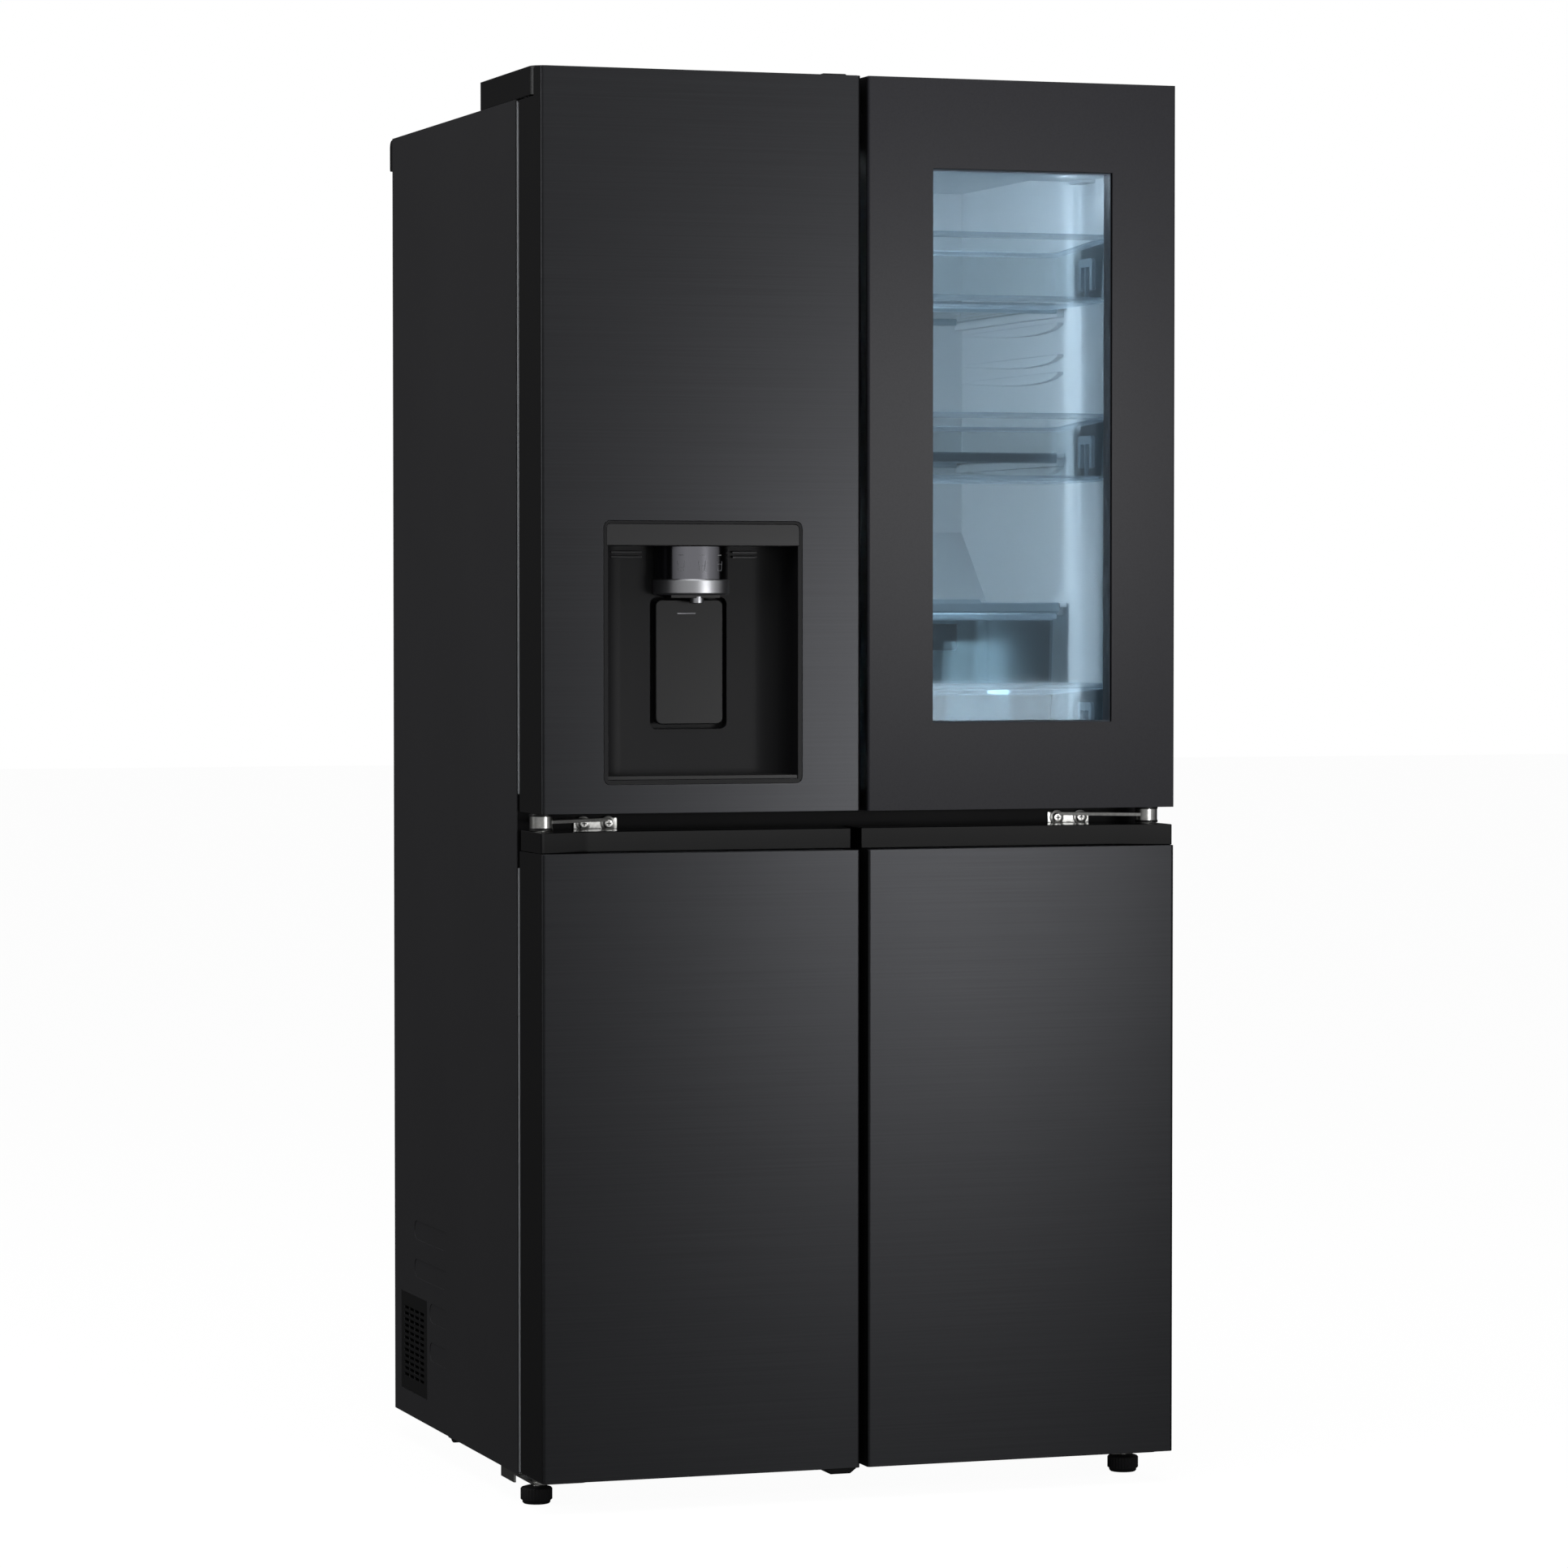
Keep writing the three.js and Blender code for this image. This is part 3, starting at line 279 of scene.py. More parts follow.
def dust_group():
    """Where dust settles: faces that look up, broken by noise."""
    found = bpy.data.node_groups.get("Settled dust")
    if found:
        return found
    tree, given, made = new_group(
        "Settled dust",
        [("Vector", "NodeSocketVector", None), ("Amount", "NodeSocketFloat", 0.2)],
        [("Mask", "NodeSocketFloat")],
    )
    facing = add(tree, "ShaderNodeSeparateXYZ", {}, {0: add(tree, "ShaderNodeNewGeometry").outputs["Normal"]})
    upward = remap(tree, facing.outputs["Z"], (0.5, 1.0), (0.0, 1.0))
    patchy = remap(tree, noise(tree, given.outputs["Vector"], 30.0, 5.0), (0.35, 0.75), (0.3, 1.0))
    mask = maths(tree, "MULTIPLY", maths(tree, "MULTIPLY", upward, patchy), given.outputs["Amount"])
    tree.links.new(mask, made.inputs["Mask"])
    return tree


def use(tree, group, vector, **values):
    """A group placed in a material's tree with its own values."""
    placed = tree.nodes.new("ShaderNodeGroup")
    placed.node_tree = group
    tree.links.new(vector, placed.inputs["Vector"])
    for name, value in values.items():
        placed.inputs[name].default_value = value
    return placed


def blend_colours(tree, factor, first, second):
    """A colour between two."""
    made = add(tree, "ShaderNodeMix", {"data_type": "RGBA"}, {"Factor": factor})
    for socket, value in ((made.inputs[6], first), (made.inputs[7], second)):
        if isinstance(value, bpy.types.NodeSocket):
            tree.links.new(value, socket)
        else:
            socket.default_value = (*value, 1.0)
    return made.outputs[2]


def bump(tree, height, strength, distance):
    """A surface normal bent by a height."""
    inputs = {"Height": height, "Strength": strength, "Distance": distance}
    return add(tree, "ShaderNodeBump", {}, inputs).outputs["Normal"]


def scaled(colour_value, factor):
    """A colour made lighter or darker."""
    return tuple(min(1.0, channel * factor) for channel in colour_value)


def new_material(name):
    """An empty material with its Principled shader and its object coordinates."""
    made = bpy.data.materials.new(name)
    made.use_nodes = True
    tree = made.node_tree
    place = add(tree, "ShaderNodeTexCoord").outputs["Object"]
    return made, tree, tree.nodes["Principled BSDF"], place


def set_values(shader, **values):
    """Plain values on the shader's own sockets."""
    for name, value in values.items():
        shader.inputs[name.replace("_", " ")].default_value = value


# ---------------------------------------------------------------- finishes


def brushed_steel(looks):
    """Dark steel with a level brushed grain."""
    made, tree, shader, place = new_material("dark_brushed_steel")
    grain = use(tree, grain_group(), place, Fineness=1.0)
    tone = remap(tree, grain.outputs["Streaks"], (0.3, 0.7), (0.0, 1.0))
    base = blend_colours(tree, tone, scaled(looks.steel, 0.94), scaled(looks.steel, 1.06))
    wiped = use(tree, handling_group(), place, Roughness=looks.steel_roughness, Spread=0.03)
    rough = maths(tree, "MULTIPLY_ADD", grain.outputs["Height"], 0.04)
    rough.node.inputs[2].default_value = -0.02
    tree.links.new(maths(tree, "ADD", rough, wiped.outputs["Roughness"]), shader.inputs["Roughness"])
    tree.links.new(base, shader.inputs["Base Color"])
    tree.links.new(bump(tree, grain.outputs["Height"], 0.12, 0.00005), shader.inputs["Normal"])
    along = add(tree, "ShaderNodeTangent", {"direction_type": "RADIAL", "axis": "Z"}).outputs["Tangent"]
    tree.links.new(along, shader.inputs["Tangent"])
    set_values(shader, Metallic=1.0, Anisotropic=0.57, Anisotropic_Rotation=0.25)
    return made


def textured_paint(looks):
    """Fine textured paint, as on the folded steel case."""
    made, tree, shader, place = new_material("textured_case_paint")
    pebble = use(tree, texture_group(), place, Scale=850.0)
    dust = use(tree, dust_group(), place, Amount=0.10)
    base = blend_colours(tree, pebble.outputs["Tone"], scaled(looks.paint, 0.9), scaled(looks.paint, 1.1))
    dusted = blend_colours(tree, dust.outputs["Mask"], base, (0.16, 0.155, 0.15))
    wiped = use(tree, handling_group(), place, Roughness=0.5, Spread=0.1)
    tree.links.new(dusted, shader.inputs["Base Color"])
    tree.links.new(wiped.outputs["Roughness"], shader.inputs["Roughness"])
    tree.links.new(bump(tree, pebble.outputs["Height"], 0.35, 0.0001), shader.inputs["Normal"])
    set_values(shader, IOR=1.35, Specular_IOR_Level=0.4)
    return made


def plastic(name, base_colour, roughness, pebble_strength, dust_amount=0.05, ior=1.46):
    """Moulded plastic with a fine pebble and a little settled dust."""
    made, tree, shader, place = new_material(name)
    pebble = use(tree, texture_group(), place, Scale=1100.0)
    dust = use(tree, dust_group(), place, Amount=dust_amount)
    base = blend_colours(tree, pebble.outputs["Tone"], scaled(base_colour, 0.92), scaled(base_colour, 1.08))
    dusted = blend_colours(tree, dust.outputs["Mask"], base, (0.2, 0.195, 0.19))
    tree.links.new(dusted, shader.inputs["Base Color"])
    wiped = use(tree, handling_group(), place, Roughness=roughness, Spread=0.08)
    tree.links.new(wiped.outputs["Roughness"], shader.inputs["Roughness"])
    tree.links.new(bump(tree, pebble.outputs["Height"], pebble_strength, 0.00008), shader.inputs["Normal"])
    set_values(shader, IOR=ior)
    return made


def plated(name, base_colour, roughness, spangle=0.0):
    """Plated metal; zinc has a faint spangle."""
    made, tree, shader, place = new_material(name)
    cells = add(tree, "ShaderNodeTexVoronoi", {}, {"Vector": place, "Scale": 260.0})
    tone = maths(tree, "MULTIPLY", cells.outputs["Distance"], spangle)
    base = blend_colours(tree, tone, base_colour, scaled(base_colour, 0.55))
    wiped = use(tree, handling_group(), place, Roughness=roughness, Spread=0.12)
    tree.links.new(base, shader.inputs["Base Color"])
    tree.links.new(wiped.outputs["Roughness"], shader.inputs["Roughness"])
    tree.links.new(bump(tree, noise(tree, place, 900.0, 2.0), 0.12, 0.00008), shader.inputs["Normal"])
    set_values(shader, Metallic=1.0)
    return made


def mirror_border(looks):
    """The smoked glass where a dark print lies behind it."""
    made, tree, shader, place = new_material("smoked_glass_border")
    dots = add(tree, "ShaderNodeTexVoronoi", {}, {"Vector": place, "Scale": 420.0})
    between, dot = scaled(looks.border, 1.1), scaled(looks.border, 0.85)
    base = blend_colours(tree, dots.outputs["Distance"], between, dot)
    wiped = use(tree, handling_group(), place, Roughness=looks.glass_roughness, Spread=0.03)
    tree.links.new(base, shader.inputs["Base Color"])
    tree.links.new(wiped.outputs["Roughness"], shader.inputs["Roughness"])
    set_values(shader, IOR=1.52)
    return made


def pane(name, tint, ior, roughness, shine):
    """Flat glass: what is behind it shows through its tint, under a reflection with that much shine."""
    made, tree, shader, place = new_material(name)
    wiped = use(tree, handling_group(), place, Roughness=roughness, Spread=0.05)
    tree.links.new(wiped.outputs["Roughness"], shader.inputs["Roughness"])
    dull = 0.03
    shader.inputs["Base Color"].default_value = (*scaled(tint, dull + (1.0 - dull) * shine), 1.0)
    set_values(shader, IOR=ior, Metallic=shine)
    behind = add(tree, "ShaderNodeBsdfTransparent", {}, {"Color": (*tint, 1.0)}).outputs[0]
    factor = add(tree, "ShaderNodeFresnel", {}, {"IOR": ior}).outputs[0]
    mixed = add(tree, "ShaderNodeMixShader", {}, {0: factor, 1: behind, 2: shader.outputs[0]})
    tree.links.new(mixed.outputs[0], tree.nodes["Material Output"].inputs["Surface"])
    return made


def clear_plastic(looks, name, face_on, edge_on, painted_glow):
    """Clear moulded plastic, denser where it is seen along its wall, with a faint bluish painted glow, though
    it is no lamp.
    """
    made, tree, shader, place = new_material(name)
    wiped = use(tree, handling_group(), place, Roughness=0.12, Spread=0.1)
    tree.links.new(wiped.outputs["Roughness"], shader.inputs["Roughness"])
    shader.inputs["Base Color"].default_value = (0.70, 0.80, 0.88, 1.0)
    # painted glow: a bluish emission that brightens the rims and lugs
    shader.inputs["Emission Color"].default_value = (0.60, 0.80, 1.0, 1.0)
    set_values(shader, Emission_Strength=painted_glow)
    behind = add(tree, "ShaderNodeBsdfTransparent", {}, {"Color": (*looks.clear, 1.0)}).outputs[0]
    facing = add(tree, "ShaderNodeLayerWeight", {}, {"Blend": 0.35}).outputs["Facing"]
    factor = remap(tree, facing, (0.0, 1.0), (face_on, edge_on))
    mixed = add(tree, "ShaderNodeMixShader", {}, {0: factor, 1: behind, 2: shader.outputs[0]})
    tree.links.new(mixed.outputs[0], tree.nodes["Material Output"].inputs["Surface"])
    return made


def lamp_lens(inside):
    """The glowing lens of the cabinet lamp."""
    made, tree, shader, place = new_material("lamp_lens")
    across = add(tree, "ShaderNodeSeparateXYZ", {}, {0: place}).outputs["X"]
    ribs = maths(tree, "SINE", maths(tree, "MULTIPLY", across, 900.0))
    glow = blend_colours(tree, remap(tree, ribs, (-1.0, 1.0), (0.0, 1.0)), scaled(inside.lamp_colour, 0.8),
                         inside.lamp_colour)
    tree.links.new(glow, shader.inputs["Emission Color"])
    set_values(shader, Emission_Strength=4.0, Roughness=0.4)
    shader.inputs["Base Color"].default_value = (0.8, 0.85, 0.9, 1.0)
    return made


def finish_makers():
    """How each finish is made, by its name."""
    looks = bpy.context.scene.refrigerator_finish
    inside = bpy.context.scene.refrigerator_inside
    return {
        "steel": lambda: brushed_steel(looks),
        "paint": lambda: textured_paint(looks),
        "satin": lambda: plastic("satin_black_plastic", looks.satin, 0.42, 0.3),
        "gloss": lambda: plastic("gloss_black_plastic", looks.gloss, 0.12, 0.02),
        "paddle": lambda: plastic("paddle_black_plastic", scaled(looks.satin, 1.3), 0.4, 0.15, 0.0, 1.4),
        "recess": lambda: plastic("recess_black_plastic", scaled(looks.satin, 1.75), 0.5, 0.3, 0.0, 1.34),
        "rail": lambda: plastic("rail_black_plastic", scaled(looks.satin, 0.8), 0.55, 0.3, 0.0, 1.22),
        # pale grey as painted light: the spacer gets little light between the panes
        "spacer": lambda: plastic("spacer_grey_plastic", (0.60, 0.57, 0.60), 0.5, 0.1, 0.0),
        "panel": lambda: plastic("panel_grey_plastic", looks.panel, 0.38, 0.1, 0.0),
        # light grey plate for the paddle mark; on rounded edges it is a painted edge highlight
        "bezel": lambda: plated("bezel_grey", (0.13, 0.13, 0.14), 0.3),
        "tread": lambda: plastic("black_tread_rubber", looks.rubber, 0.6, 0.5, 0.1),
        "zinc": lambda: plated("zinc_plate", looks.zinc, 0.3, 0.5),
        "dark_chrome": lambda: plated("dark_chrome_plate", looks.dark_chrome, 0.16),
        "silver": lambda: plated("silver_plate", looks.silver, 0.38),
        "border": lambda: mirror_border(looks),
        "window": lambda: pane("smoked_window_glass", looks.window_tint, 1.5, 0.3, 0.0),
        "glass": lambda: pane("clear_shelf_glass", (0.90, 0.94, 0.95), 1.45, 0.04, 1.0),
        "lining": lambda: plastic("pale_lining_plastic", looks.lining, 0.35, 0.05, 0.0),
        "trim": lambda: plastic("grey_trim_plastic", (0.42, 0.50, 0.56), 0.3, 0.05, 0.0),
        # the last number is the painted glow; the rim finish glows more, as painted bright rims
        "clear": lambda: clear_plastic(looks, "clear_plastic", 0.02, 0.25, 0.03),
        "clear_rim": lambda: clear_plastic(looks, "clear_plastic_rim", 0.35, 0.6, 0.16),
        "rubber": lambda: plastic("seal_rubber", looks.rubber, 0.62, 0.15, 0.0),
        "foam": lambda: plastic("insulating_foam", (0.62, 0.55, 0.33), 0.85, 0.8, 0.0),
        "cast": lambda: plastic("black_cast_paint", (0.006, 0.006, 0.006), 0.35, 0.6, 0.15),
        "mark": lambda: plastic("pale_print", (0.30, 0.31, 0.33), 0.4, 0.0, 0.0),
        "lit_mark": lambda: plastic("white_print", (0.85, 0.86, 0.88), 0.4, 0.0, 0.0),
        "copper": lambda: plated("copper_pipe", (0.62, 0.30, 0.18), 0.3),
        "lamp": lambda: lamp_lens(inside),
    }


made_finishes = {}


def finish(name):
    """The material of that finish, made when it is first asked for."""
    if name not in made_finishes:
        made_finishes[name] = finish_makers()[name]()
    return made_finishes[name]


# ---------------------------------------------------------------- mesh helpers


def body_of(node):
    """The body that a CAD node rides on."""
    return frame["nodes"][node]["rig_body"]


def place_piece(name, bm, finishes, body, edge=0.0, segments=2, replaced=(), edge_highlight_finish=None):
    """Turns a bmesh into a finished piece: rounded edges, even shading, finish and body."""
    bmesh.ops.recalc_face_normals(bm, faces=bm.faces)
    mesh = bpy.data.meshes.new(name)
    bm.to_mesh(mesh)
    bm.free()
    mesh.shade_smooth()
    piece = bpy.data.objects.new(name, mesh)
    bpy.context.scene.collection.objects.link(piece)
    for label in finishes:
        mesh.materials.append(finish(label))
    if edge > 0:
        rounding = piece.modifiers.new("rounded edges", "BEVEL")
        rounding.width = edge
        rounding.segments = segments
        rounding.limit_method = "ANGLE"
        rounding.angle_limit = SHARP
        rounding.miter_outer = "MITER_ARC"
        # the rounded edges take a lighter grey finish of their own: a painted edge highlight
        if edge_highlight_finish:
            mesh.materials.append(finish(edge_highlight_finish))
            rounding.material = len(finishes)
    shading = piece.modifiers.new("even shading", "WEIGHTED_NORMAL")
    shading.keep_sharp = True
    shading.weight = 80
    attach(piece, body)
    if replaced:
        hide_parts(*replaced)


def cad_shape(node):
    """A CAD node's mesh, welded, with its flat faces made whole and none of them hollowed."""
    bm = bmesh.new()
    bm.from_mesh(frame["nodes"][node].data)
    bmesh.ops.remove_doubles(bm, verts=bm.verts, dist=WELD)
    bmesh.ops.dissolve_limit(bm, angle_limit=FLAT, verts=bm.verts, edges=bm.edges)
    bmesh.ops.connect_verts_concave(bm, faces=bm.faces)
    for face in bm.faces:
        face.material_index = 0
    return bm


def finished(node, finishes, edge, segments=2, choose=None, edge_highlight_finish=None):
    """A piece with the CAD node's own shape, its edges rounded and its faces given finishes."""
    if isinstance(finishes, str):
        finishes = [finishes]
    bm = cad_shape(node)
    if choose:
        for face in bm.faces:
            face.material_index = choose(face)
    place_piece(node + "_finished", bm, finishes, body_of(node), edge, segments, (node,),
                edge_highlight_finish=edge_highlight_finish)


def loft(bm, rings, material=0, caps=True):
    """Joins closed rings of points, one after the other, into a skin; the caps come last."""
    made = [[bm.verts.new(point) for point in ring] for ring in rings]
    count = len(made[0])
    faces = []
    for low, high in zip(made, made[1:]):
        for i in range(count):
            j = (i + 1) % count
            faces.append(bm.faces.new((low[i], low[j], high[j], high[i])))
    if caps:
        faces.append(bm.faces.new(made[0][::-1]))
        faces.append(bm.faces.new(made[-1]))
    for face in faces:
        face.material_index = material
    return faces


def rounded_outline(low, high, radius, steps):
    """The points of a rectangle with round corners, in two axes."""
    points = []
    corners = ((high[0], high[1], 0), (low[0], high[1], 1), (low[0], low[1], 2), (high[0], low[1], 3))
    for a, b, quarter in corners:
        ca = a - radius if quarter in (0, 3) else a + radius
        cb = b - radius if quarter in (0, 1) else b + radius
        for step in range(steps + 1):
            angle = QUARTER * (quarter + step / steps)
            points.append((ca + radius * math.cos(angle), cb + radius * math.sin(angle)))
    return points


AXES = {"X": lambda a, b, c: (c, a, b), "Y": lambda a, b, c: (a, c, b), "Z": lambda a, b, c: (a, b, c)}


def prism(bm, outline, axis, low, high, material=0, draft=0.0):
    """A solid with one outline along an axis: (Y, Z) for X, (X, Z) for Y, (X, Y) for Z."""
    place = AXES[axis]
    middle = [sum(values) / len(outline) for values in zip(*outline)]
    shrunk = [(a - math.copysign(draft, a - middle[0]), b - math.copysign(draft, b - middle[1]))
              for a, b in outline]
    loft(bm, [[place(a, b, low) for a, b in outline], [place(a, b, high) for a, b in shrunk]], material)


def block(bm, low, high, radius, axis="Z", material=0):
    """A block between two corners, its edges along one axis rounded."""
    a, b, c = {"X": (1, 2, 0), "Y": (0, 2, 1), "Z": (0, 1, 2)}[axis]
    outline = rounded_outline((low[a], low[b]), (high[a], high[b]), radius, 4)
    prism(bm, outline, axis, low[c], high[c], material)


def circle(radius, segments):
    """The points of a circle about the origin, in two axes."""
    angles = [math.tau * i / segments for i in range(segments)]
    return [(radius * math.cos(angle), radius * math.sin(angle)) for angle in angles]


def turned(bm, x, y, profile, segments, material=0):
    """A solid turned about an upright axis from (radius, height) points."""
    loft(bm, [[(x + a, y + b, z) for a, b in circle(radius, segments)] for radius, z in profile], material)


def facing_ring(x, y, z, radius, segments):
    """An upright circle of points that faces the front."""
    return [(x + a, y, z + b) for a, b in circle(radius, segments)]


def tray(bm, low, high, wall, corner, rim, draft=0.004, fall=0.0):
    """An open tray with round corners and sloping walls, whose rim falls to the rear."""
    def ring(inset, z, radius):
        """One level outline of the tray, drawn in by an inset."""
        points = rounded_outline((low[0] + inset, low[1] + inset), (high[0] - inset, high[1] - inset),
                                 max(radius, 0.001), 6)
        share_up = (z - low[2]) / (high[2] - low[2])
        return [(a, b, z - fall * share_up * (b - low[1]) / (high[1] - low[1])) for a, b in points]

    outer, inner = rim, rim + wall
    rings = [
        ring(outer + draft + 0.004, low[2], corner - 0.002),
        ring(outer + draft + 0.001, low[2] + 0.0015, corner),
        ring(outer + draft, low[2] + 0.004, corner),
        ring(outer, high[2] - 0.007, corner),
        ring(0.0005, high[2] - 0.006, corner),
        ring(0.0, high[2] - 0.005, corner),
        ring(0.0, high[2] - 0.001, corner),
        ring(0.001, high[2], corner),
        ring(inner - 0.001, high[2], corner - wall / 2),
        ring(inner, high[2] - 0.0015, corner - wall / 2),
        ring(inner + draft, low[2] + wall + 0.004, corner - wall / 2),
        ring(inner + draft + 0.004, low[2] + wall, corner - wall),
    ]
    skin = loft(bm, rings)[:-2]
    around = len(rings[0])
    wall_bands = (2, 9)
    # every band but the two walls takes the second finish, with the stronger painted glow
    for index, face in enumerate(skin):
        face.material_index = 0 if index // around in wall_bands else 1


# ---------------------------------------------------------------- pieces of the cabinet


def build_case():
    """The folded case, its rail, the side grille and the caps."""
    looks = bpy.context.scene.refrigerator_finish
    finished("outer_case", "paint", looks.edge, 3)
    finished("front_rail", "rail", 0.0004)
    # the grille's rounded edges get the painted edge highlight, as light grid lines
    finished("side_grille", "satin", 0.0003, 1, edge_highlight_finish="bezel")
    for node in ("top_centre_cap", "bottom_centre_cap", "rear_spacer_left", "rear_spacer_right"):
        finished(node, "satin", 0.0012, 3)
    foam = frame["nodes"]["foam_body"].data.materials
    foam.clear()
    foam.append(finish("foam"))


def build_back():
    """The pressed back panel and the slotted cover of the machine compartment."""
    low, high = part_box("back_panel")
    bm = bmesh.new()
    block(bm, low, high, 0.0008, "Y")
    field_gap = 0.05
    width = (high.x - low.x - 3 * field_gap) / 2
    bar_inset, bar_height, first_bar, bar_spacing = 0.04, 0.03, 0.2, 0.26
    for column in range(2):
        x = low.x + field_gap + column * (width + field_gap)
        outline = rounded_outline((x, low.z + field_gap), (x + width, high.z - field_gap), 0.03, 6)
        prism(bm, outline, "Y", high.y - 0.0005, high.y + 0.004, 0, 0.004)
        for row in range(5):
            z = low.z + first_bar + row * bar_spacing
            bar = rounded_outline((x + bar_inset, z), (x + width - bar_inset, z + bar_height), 0.0149, 6)
            prism(bm, bar, "Y", high.y + 0.0035, high.y + 0.007, 0, 0.003)
    place_piece("back_panel_pressed", bm, ["zinc"], "cabinet", 0.0008, 2, ("back_panel",))
    finished("machine_cover", "satin", 0.0008, 2)
    build_machine()


def build_machine():
    """The compressor with its terminal box, mounting feet and pipes."""
    finished("compressor", "cast", 0.004, 4)
    low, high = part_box("compressor")
    x, y = (low.x + high.x) / 2, (low.y + high.y) / 2
    bm = bmesh.new()
    block(bm, (high.x - 0.03, y - 0.03, low.z + 0.03), (high.x - 0.004, y + 0.03, low.z + 0.1), 0.004, "X")
    place_piece("compressor_terminal_box", bm, ["satin"], "cabinet", 0.002)
    pipe("suction_pipe", [(x - 0.06, y, low.z + 0.12), (x - 0.12, y + 0.01, low.z + 0.14),
                          (x - 0.2, y + 0.02, low.z + 0.12), (x - 0.3, y + 0.02, low.z + 0.05)], 0.004)
    pipe("discharge_pipe", [(x + 0.02, y - 0.06, low.z + 0.09), (x + 0.02, y - 0.085, low.z + 0.12),
                            (x - 0.12, y - 0.085, low.z + 0.13), (x - 0.34, y - 0.06, low.z + 0.03)], 0.003)


def pipe(name, points, radius):
    """A bent copper pipe through the given points."""
    curve = bpy.data.curves.new(name, "CURVE")
    curve.dimensions = "3D"
    curve.bevel_depth = radius
    curve.bevel_resolution = 3
    curve.use_fill_caps = True
    line = curve.splines.new("BEZIER")
    line.bezier_points.add(len(points) - 1)
    for knot, point in zip(line.bezier_points, points):
        knot.co = point
        knot.handle_left_type = "AUTO"
        knot.handle_right_type = "AUTO"
    curve.materials.append(finish("copper"))
    piece = bpy.data.objects.new(name, curve)
    bpy.context.scene.collection.objects.link(piece)
    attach(piece, "cabinet")


def build_linings():
    """The moulded inner walls and their shelf supports."""
    finished("fridge_liner", "lining", 0.0008)
    finished("freezer_liner", "lining", 0.0008)
    low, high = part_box("upper_shelf")
    wall_x = high.x + 0.0032
    front, rear = low.y + 0.012, high.y - 0.02
    levels = [high.z - drop for drop in (0.0245, 0.066, 0.089)]
    levels.append(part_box("middle_shelf")[0].z - 0.004)
    bm = bmesh.new()
    for _, side in SIDES:
        for z in levels:
            support(bm, side * wall_x, side, z, front, rear)
    place_piece("shelf_supports", bm, ["lining"], "cabinet", 0.001, 2)


def support(bm, x, side, z, front, rear):
    """A leaf-shaped ledge moulded on a side wall: flat on top and swept up at its front end."""
    steps = 14
    reach, edge, belly = 0.009, 0.003, 0.010
    top = [(front + (rear - front) * i / steps, z) for i in range(steps + 1)]
    under = []
    for i in range(steps, -1, -1):
        along = i / steps
        swell = math.sin(math.pi * along ** 0.6)
        under.append((front + (rear - front) * along, z - edge - belly * swell))
    inner = x - side * reach
    prism(bm, top + under, "X", min(x, inner), max(x, inner))


def build_lamp():
    """The lamp under the ceiling, with the light that it and the lamps by the wall and the crisper give."""
    inside = bpy.context.scene.refrigerator_inside
    shelf_low, shelf_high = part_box("upper_shelf")
    ceiling = frame_opening("fridge_top_space")[1][2] + 0.006
    y = shelf_low.y - 0.06
    half = inside.lamp_width / 2
    bm = bmesh.new()
    outline = rounded_outline((-half, y - 0.018), (half, y + 0.018), 0.017, 6)
    prism(bm, outline, "Z", ceiling - 0.0005, ceiling - 0.007, 0, 0.003)
    place_piece("cabinet_lamp", bm, ["lamp"], "cabinet", 0.0008)
    target = (0.0, y + 0.35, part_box("fridge_liner")[0].z + 0.3)
    area_light("cabinet_light", (0.0, y, ceiling - 0.012), target, (inside.lamp_width, 0.03),
               inside.lamp_power, inside.lamp_colour)
    low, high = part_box("crisper_drawer")
    middle = (ceiling + low.z) / 2 + 0.06
    area_light("side_wall_light", (shelf_low.x + 0.03, y + 0.05, middle),
               (shelf_high.x, shelf_low.y + 0.17, middle), (0.03, 0.60),
               inside.wall_power, inside.lamp_colour)
    middle = (low.z + high.z) / 2
    crisper_light = area_light("crisper_light", (0.16, low.y + 0.02, middle), (0.25, high.y, middle),
                               (0.25, 0.15), inside.crisper_power, inside.crisper_colour)
    crisper_light.data.spread = math.radians(80)
    build_door_lights()


def build_door_lights():
    """The upright strip and the small corner lamp behind the window door's inner pane."""
    inside = bpy.context.scene.refrigerator_inside
    low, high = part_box("door_bin_upper")
    (_, z0), (x1, z1) = window_box()
    y = low.y + 0.04
    middle = (z0 + z1) / 2
    area_light("door_strip_light", (low.x + 0.008, y, middle), (high.x, y + 0.02, middle), (0.02, z1 - z0),
               inside.door_power, inside.lamp_colour)
    area_light("door_corner_light", (x1 - 0.05, y, z1 - 0.012), (high.x + 0.01, y, z1 - 0.06), (0.03, 0.03),
               inside.door_power * 0.3, inside.lamp_colour)


def frame_opening(name):
    """The low and high corners of an opening that the record states."""
    for opening in frame["record"]["physics"]["openings"]:
        if opening["name"] == name:
            return opening["box_m"]
    raise RuntimeError("the record has no opening named " + name)


def area_light(name, place, target, size, power, tint=(1.0, 1.0, 1.0)):
    """A rectangular light that looks at a point."""
    data = bpy.data.lights.new(name, "AREA")
    data.shape = "RECTANGLE"
    data.size, data.size_y = size
    data.energy = power
    data.color = tint
    made = bpy.data.objects.new(name, data)
    bpy.context.scene.collection.objects.link(made)
    made.location = place
    made.rotation_euler = (Vector(target) - Vector(place)).to_track_quat("-Z", "Y").to_euler()
    made.visible_camera = False
    return made


